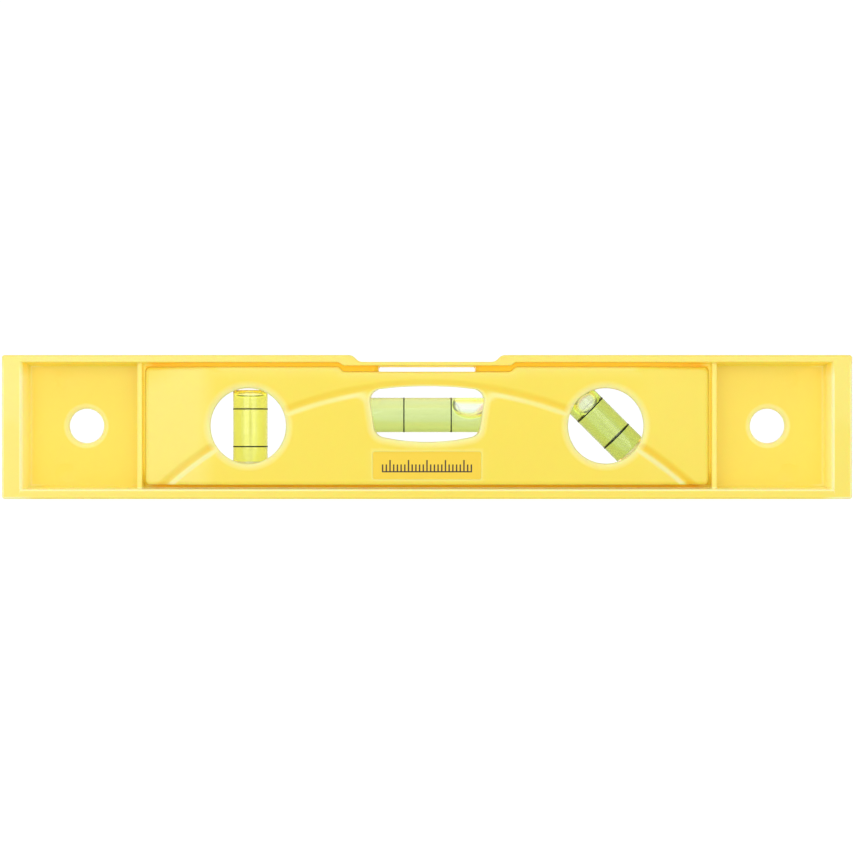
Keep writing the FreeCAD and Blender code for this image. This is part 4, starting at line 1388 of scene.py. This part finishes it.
def finish_clear(shader, pattern, ior, tint, other_tint, rough):
    surface = shader.surface
    shader.join(shader.tone(pattern, tint, other_tint), surface.inputs["Base Color"])
    shader.join(shader.spread(shader.noise(400.0), rough * 0.5, rough * 1.5), surface.inputs["Roughness"])
    surface.inputs["IOR"].default_value = ior
    surface.inputs["Transmission Weight"].default_value = 1.0
    surface.inputs["Specular IOR Level"].default_value = CLEAR_GLOSS
    shader.light_through(other_tint)
    return shader.material


def printed_ink(name, colour, rough):
    shader = Shader(name)
    surface = shader.surface
    paler = tuple(value * 1.5 + 0.01 for value in colour[:3]) + (1,)
    shader.join(shader.tone(shader.noise(900.0, 4.0), colour, paler), surface.inputs["Base Color"])
    shader.join(shader.spread(shader.noise(500.0), rough * 0.8, rough * 1.2), surface.inputs["Roughness"])
    shader.bump(shader.noise(4000.0), 0.15, 0.00001)
    return shader.material


body_yellow = moulded_plastic("body_yellow", YELLOW, YELLOW_DEEP)
cover_yellow = moulded_plastic("cover_yellow", YELLOW, YELLOW_DEEP)
paint(frame_piece, body_yellow)
paint(front_piece, cover_yellow)
paint(rear_piece, cover_yellow)
label_yellow = moulded_plastic("label_yellow", LABEL_YELLOW, LABEL_YELLOW_DEEP, see_in=0.0)
paint(label_piece, label_yellow, printed_ink("brown_ink", BROWN_INK, 0.5))
acrylic = clear_material("clear_acrylic", ACRYLIC_IOR, ACRYLIC)
air = air_material("bubble_air")
line_ink = printed_ink("line_ink", LINE_INK, 0.7)
plug_pale = printed_ink("plug_pale", PLUG_PALE, 0.4)
for name, pieces in vial_pieces.items():
    paint(pieces["tube"], acrylic)
    spirit_low, spirit_high = box_mm(f"{name}_vial_spirit")
    spirit = spirit_material(f"{name}_spirit_tint", spirit_low[2], spirit_high[2], *TINTS[name])
    paint(pieces["spirit"], spirit)
    paint(pieces["plug"], plug_pale)
    paint(pieces["lines"], line_ink)
    paint(pieces["bubble"], air)

# ---------------------------------------------------------------- stage

FLOOR_GLOW = 0.75
FLOOR_BOUNCE = 0.45
WORLD_LIGHT = 0.68
# Place and size in metres, power in watts.
LIGHTS = {
    "top_panel": ((-0.18, -0.50, 0.85), (0.8, 0.5), 0.95),
    "left_panel": ((-0.85, -0.42, 0.30), (0.5, 0.6), 0.5),
    "right_panel": ((0.85, -0.42, 0.30), (0.5, 0.6), 0.42),
    "left_card": ((-0.33, -0.66, 0.14), (0.50, 0.40), 0.85),
    "right_card": ((0.30, -0.66, 0.14), (0.45, 0.40), 0.62),
}
CAMERA_DISTANCE = 0.600
CAMERA_LENS = 93.6


def build_stage():
    """A pale floor that sweeps up into a backdrop."""
    front, far, bend, wall, half = -2000, 1600, 600, 2500, 3000
    profile = [(front, 0)]
    profile += [(far - bend + bend * sine, bend * rise) for sine, rise in quarter_turn(17)]
    profile.append((far, wall))
    vertices = [(x, y, z) for y, z in profile for x in (-half, half)]
    faces = [(2 * i, 2 * i + 1, 2 * i + 3, 2 * i + 2) for i in range(len(profile) - 1)]
    floor = new_piece("floor", vertices, faces)
    shader = Shader("pale_floor")
    shader.surface.inputs["Base Color"].default_value = (0.35, 0.35, 0.35, 1)
    shader.surface.inputs["Roughness"].default_value = 0.9
    shader.surface.inputs["Emission Color"].default_value = (1, 1, 1, 1)
    # The glow keeps the backdrop white to the eye and through the vials, and bounces less light.
    ray = shader.add("ShaderNodeLightPath")
    glow = shader.add("ShaderNodeMapRange", {"To Min": FLOOR_GLOW, "To Max": FLOOR_BOUNCE})
    shader.join(ray.outputs["Is Diffuse Ray"], glow.inputs["Value"])
    shader.join(glow.outputs["Result"], shader.surface.inputs["Emission Strength"])
    paint(floor, shader.material)


def area_light(name, place, target, size, power):
    data = bpy.data.lights.new(name, "AREA")
    data.shape = "RECTANGLE"
    data.size, data.size_y = size
    data.energy = power
    light = linked(name, data)
    light.location = place
    light.rotation_euler = (Vector(target) - Vector(place)).to_track_quat("-Z", "Y").to_euler()


def build_lights():
    for name, (place, size, power) in LIGHTS.items():
        area_light(name, place, (0, 0, HEIGHT * MM / 2), size, power)
    world = bpy.data.worlds.new("studio")
    world.use_nodes = True
    background = world.node_tree.nodes["Background"]
    background.inputs["Color"].default_value = (1, 1, 1, 1)
    background.inputs["Strength"].default_value = WORLD_LIGHT
    bpy.context.scene.world = world


def build_camera():
    data = bpy.data.cameras.new("camera")
    data.lens = CAMERA_LENS
    data.sensor_width = 36.0
    data.clip_start = 0.01
    camera = linked("camera", data)
    camera.location = (0, -HALF_DEPTH * MM - CAMERA_DISTANCE, HEIGHT * MM / 2)
    camera.rotation_euler = (math.pi / 2, 0, 0)
    bpy.context.scene.camera = camera


build_stage()
build_lights()
build_camera()
bpy.context.scene.view_settings.view_transform = "Standard"
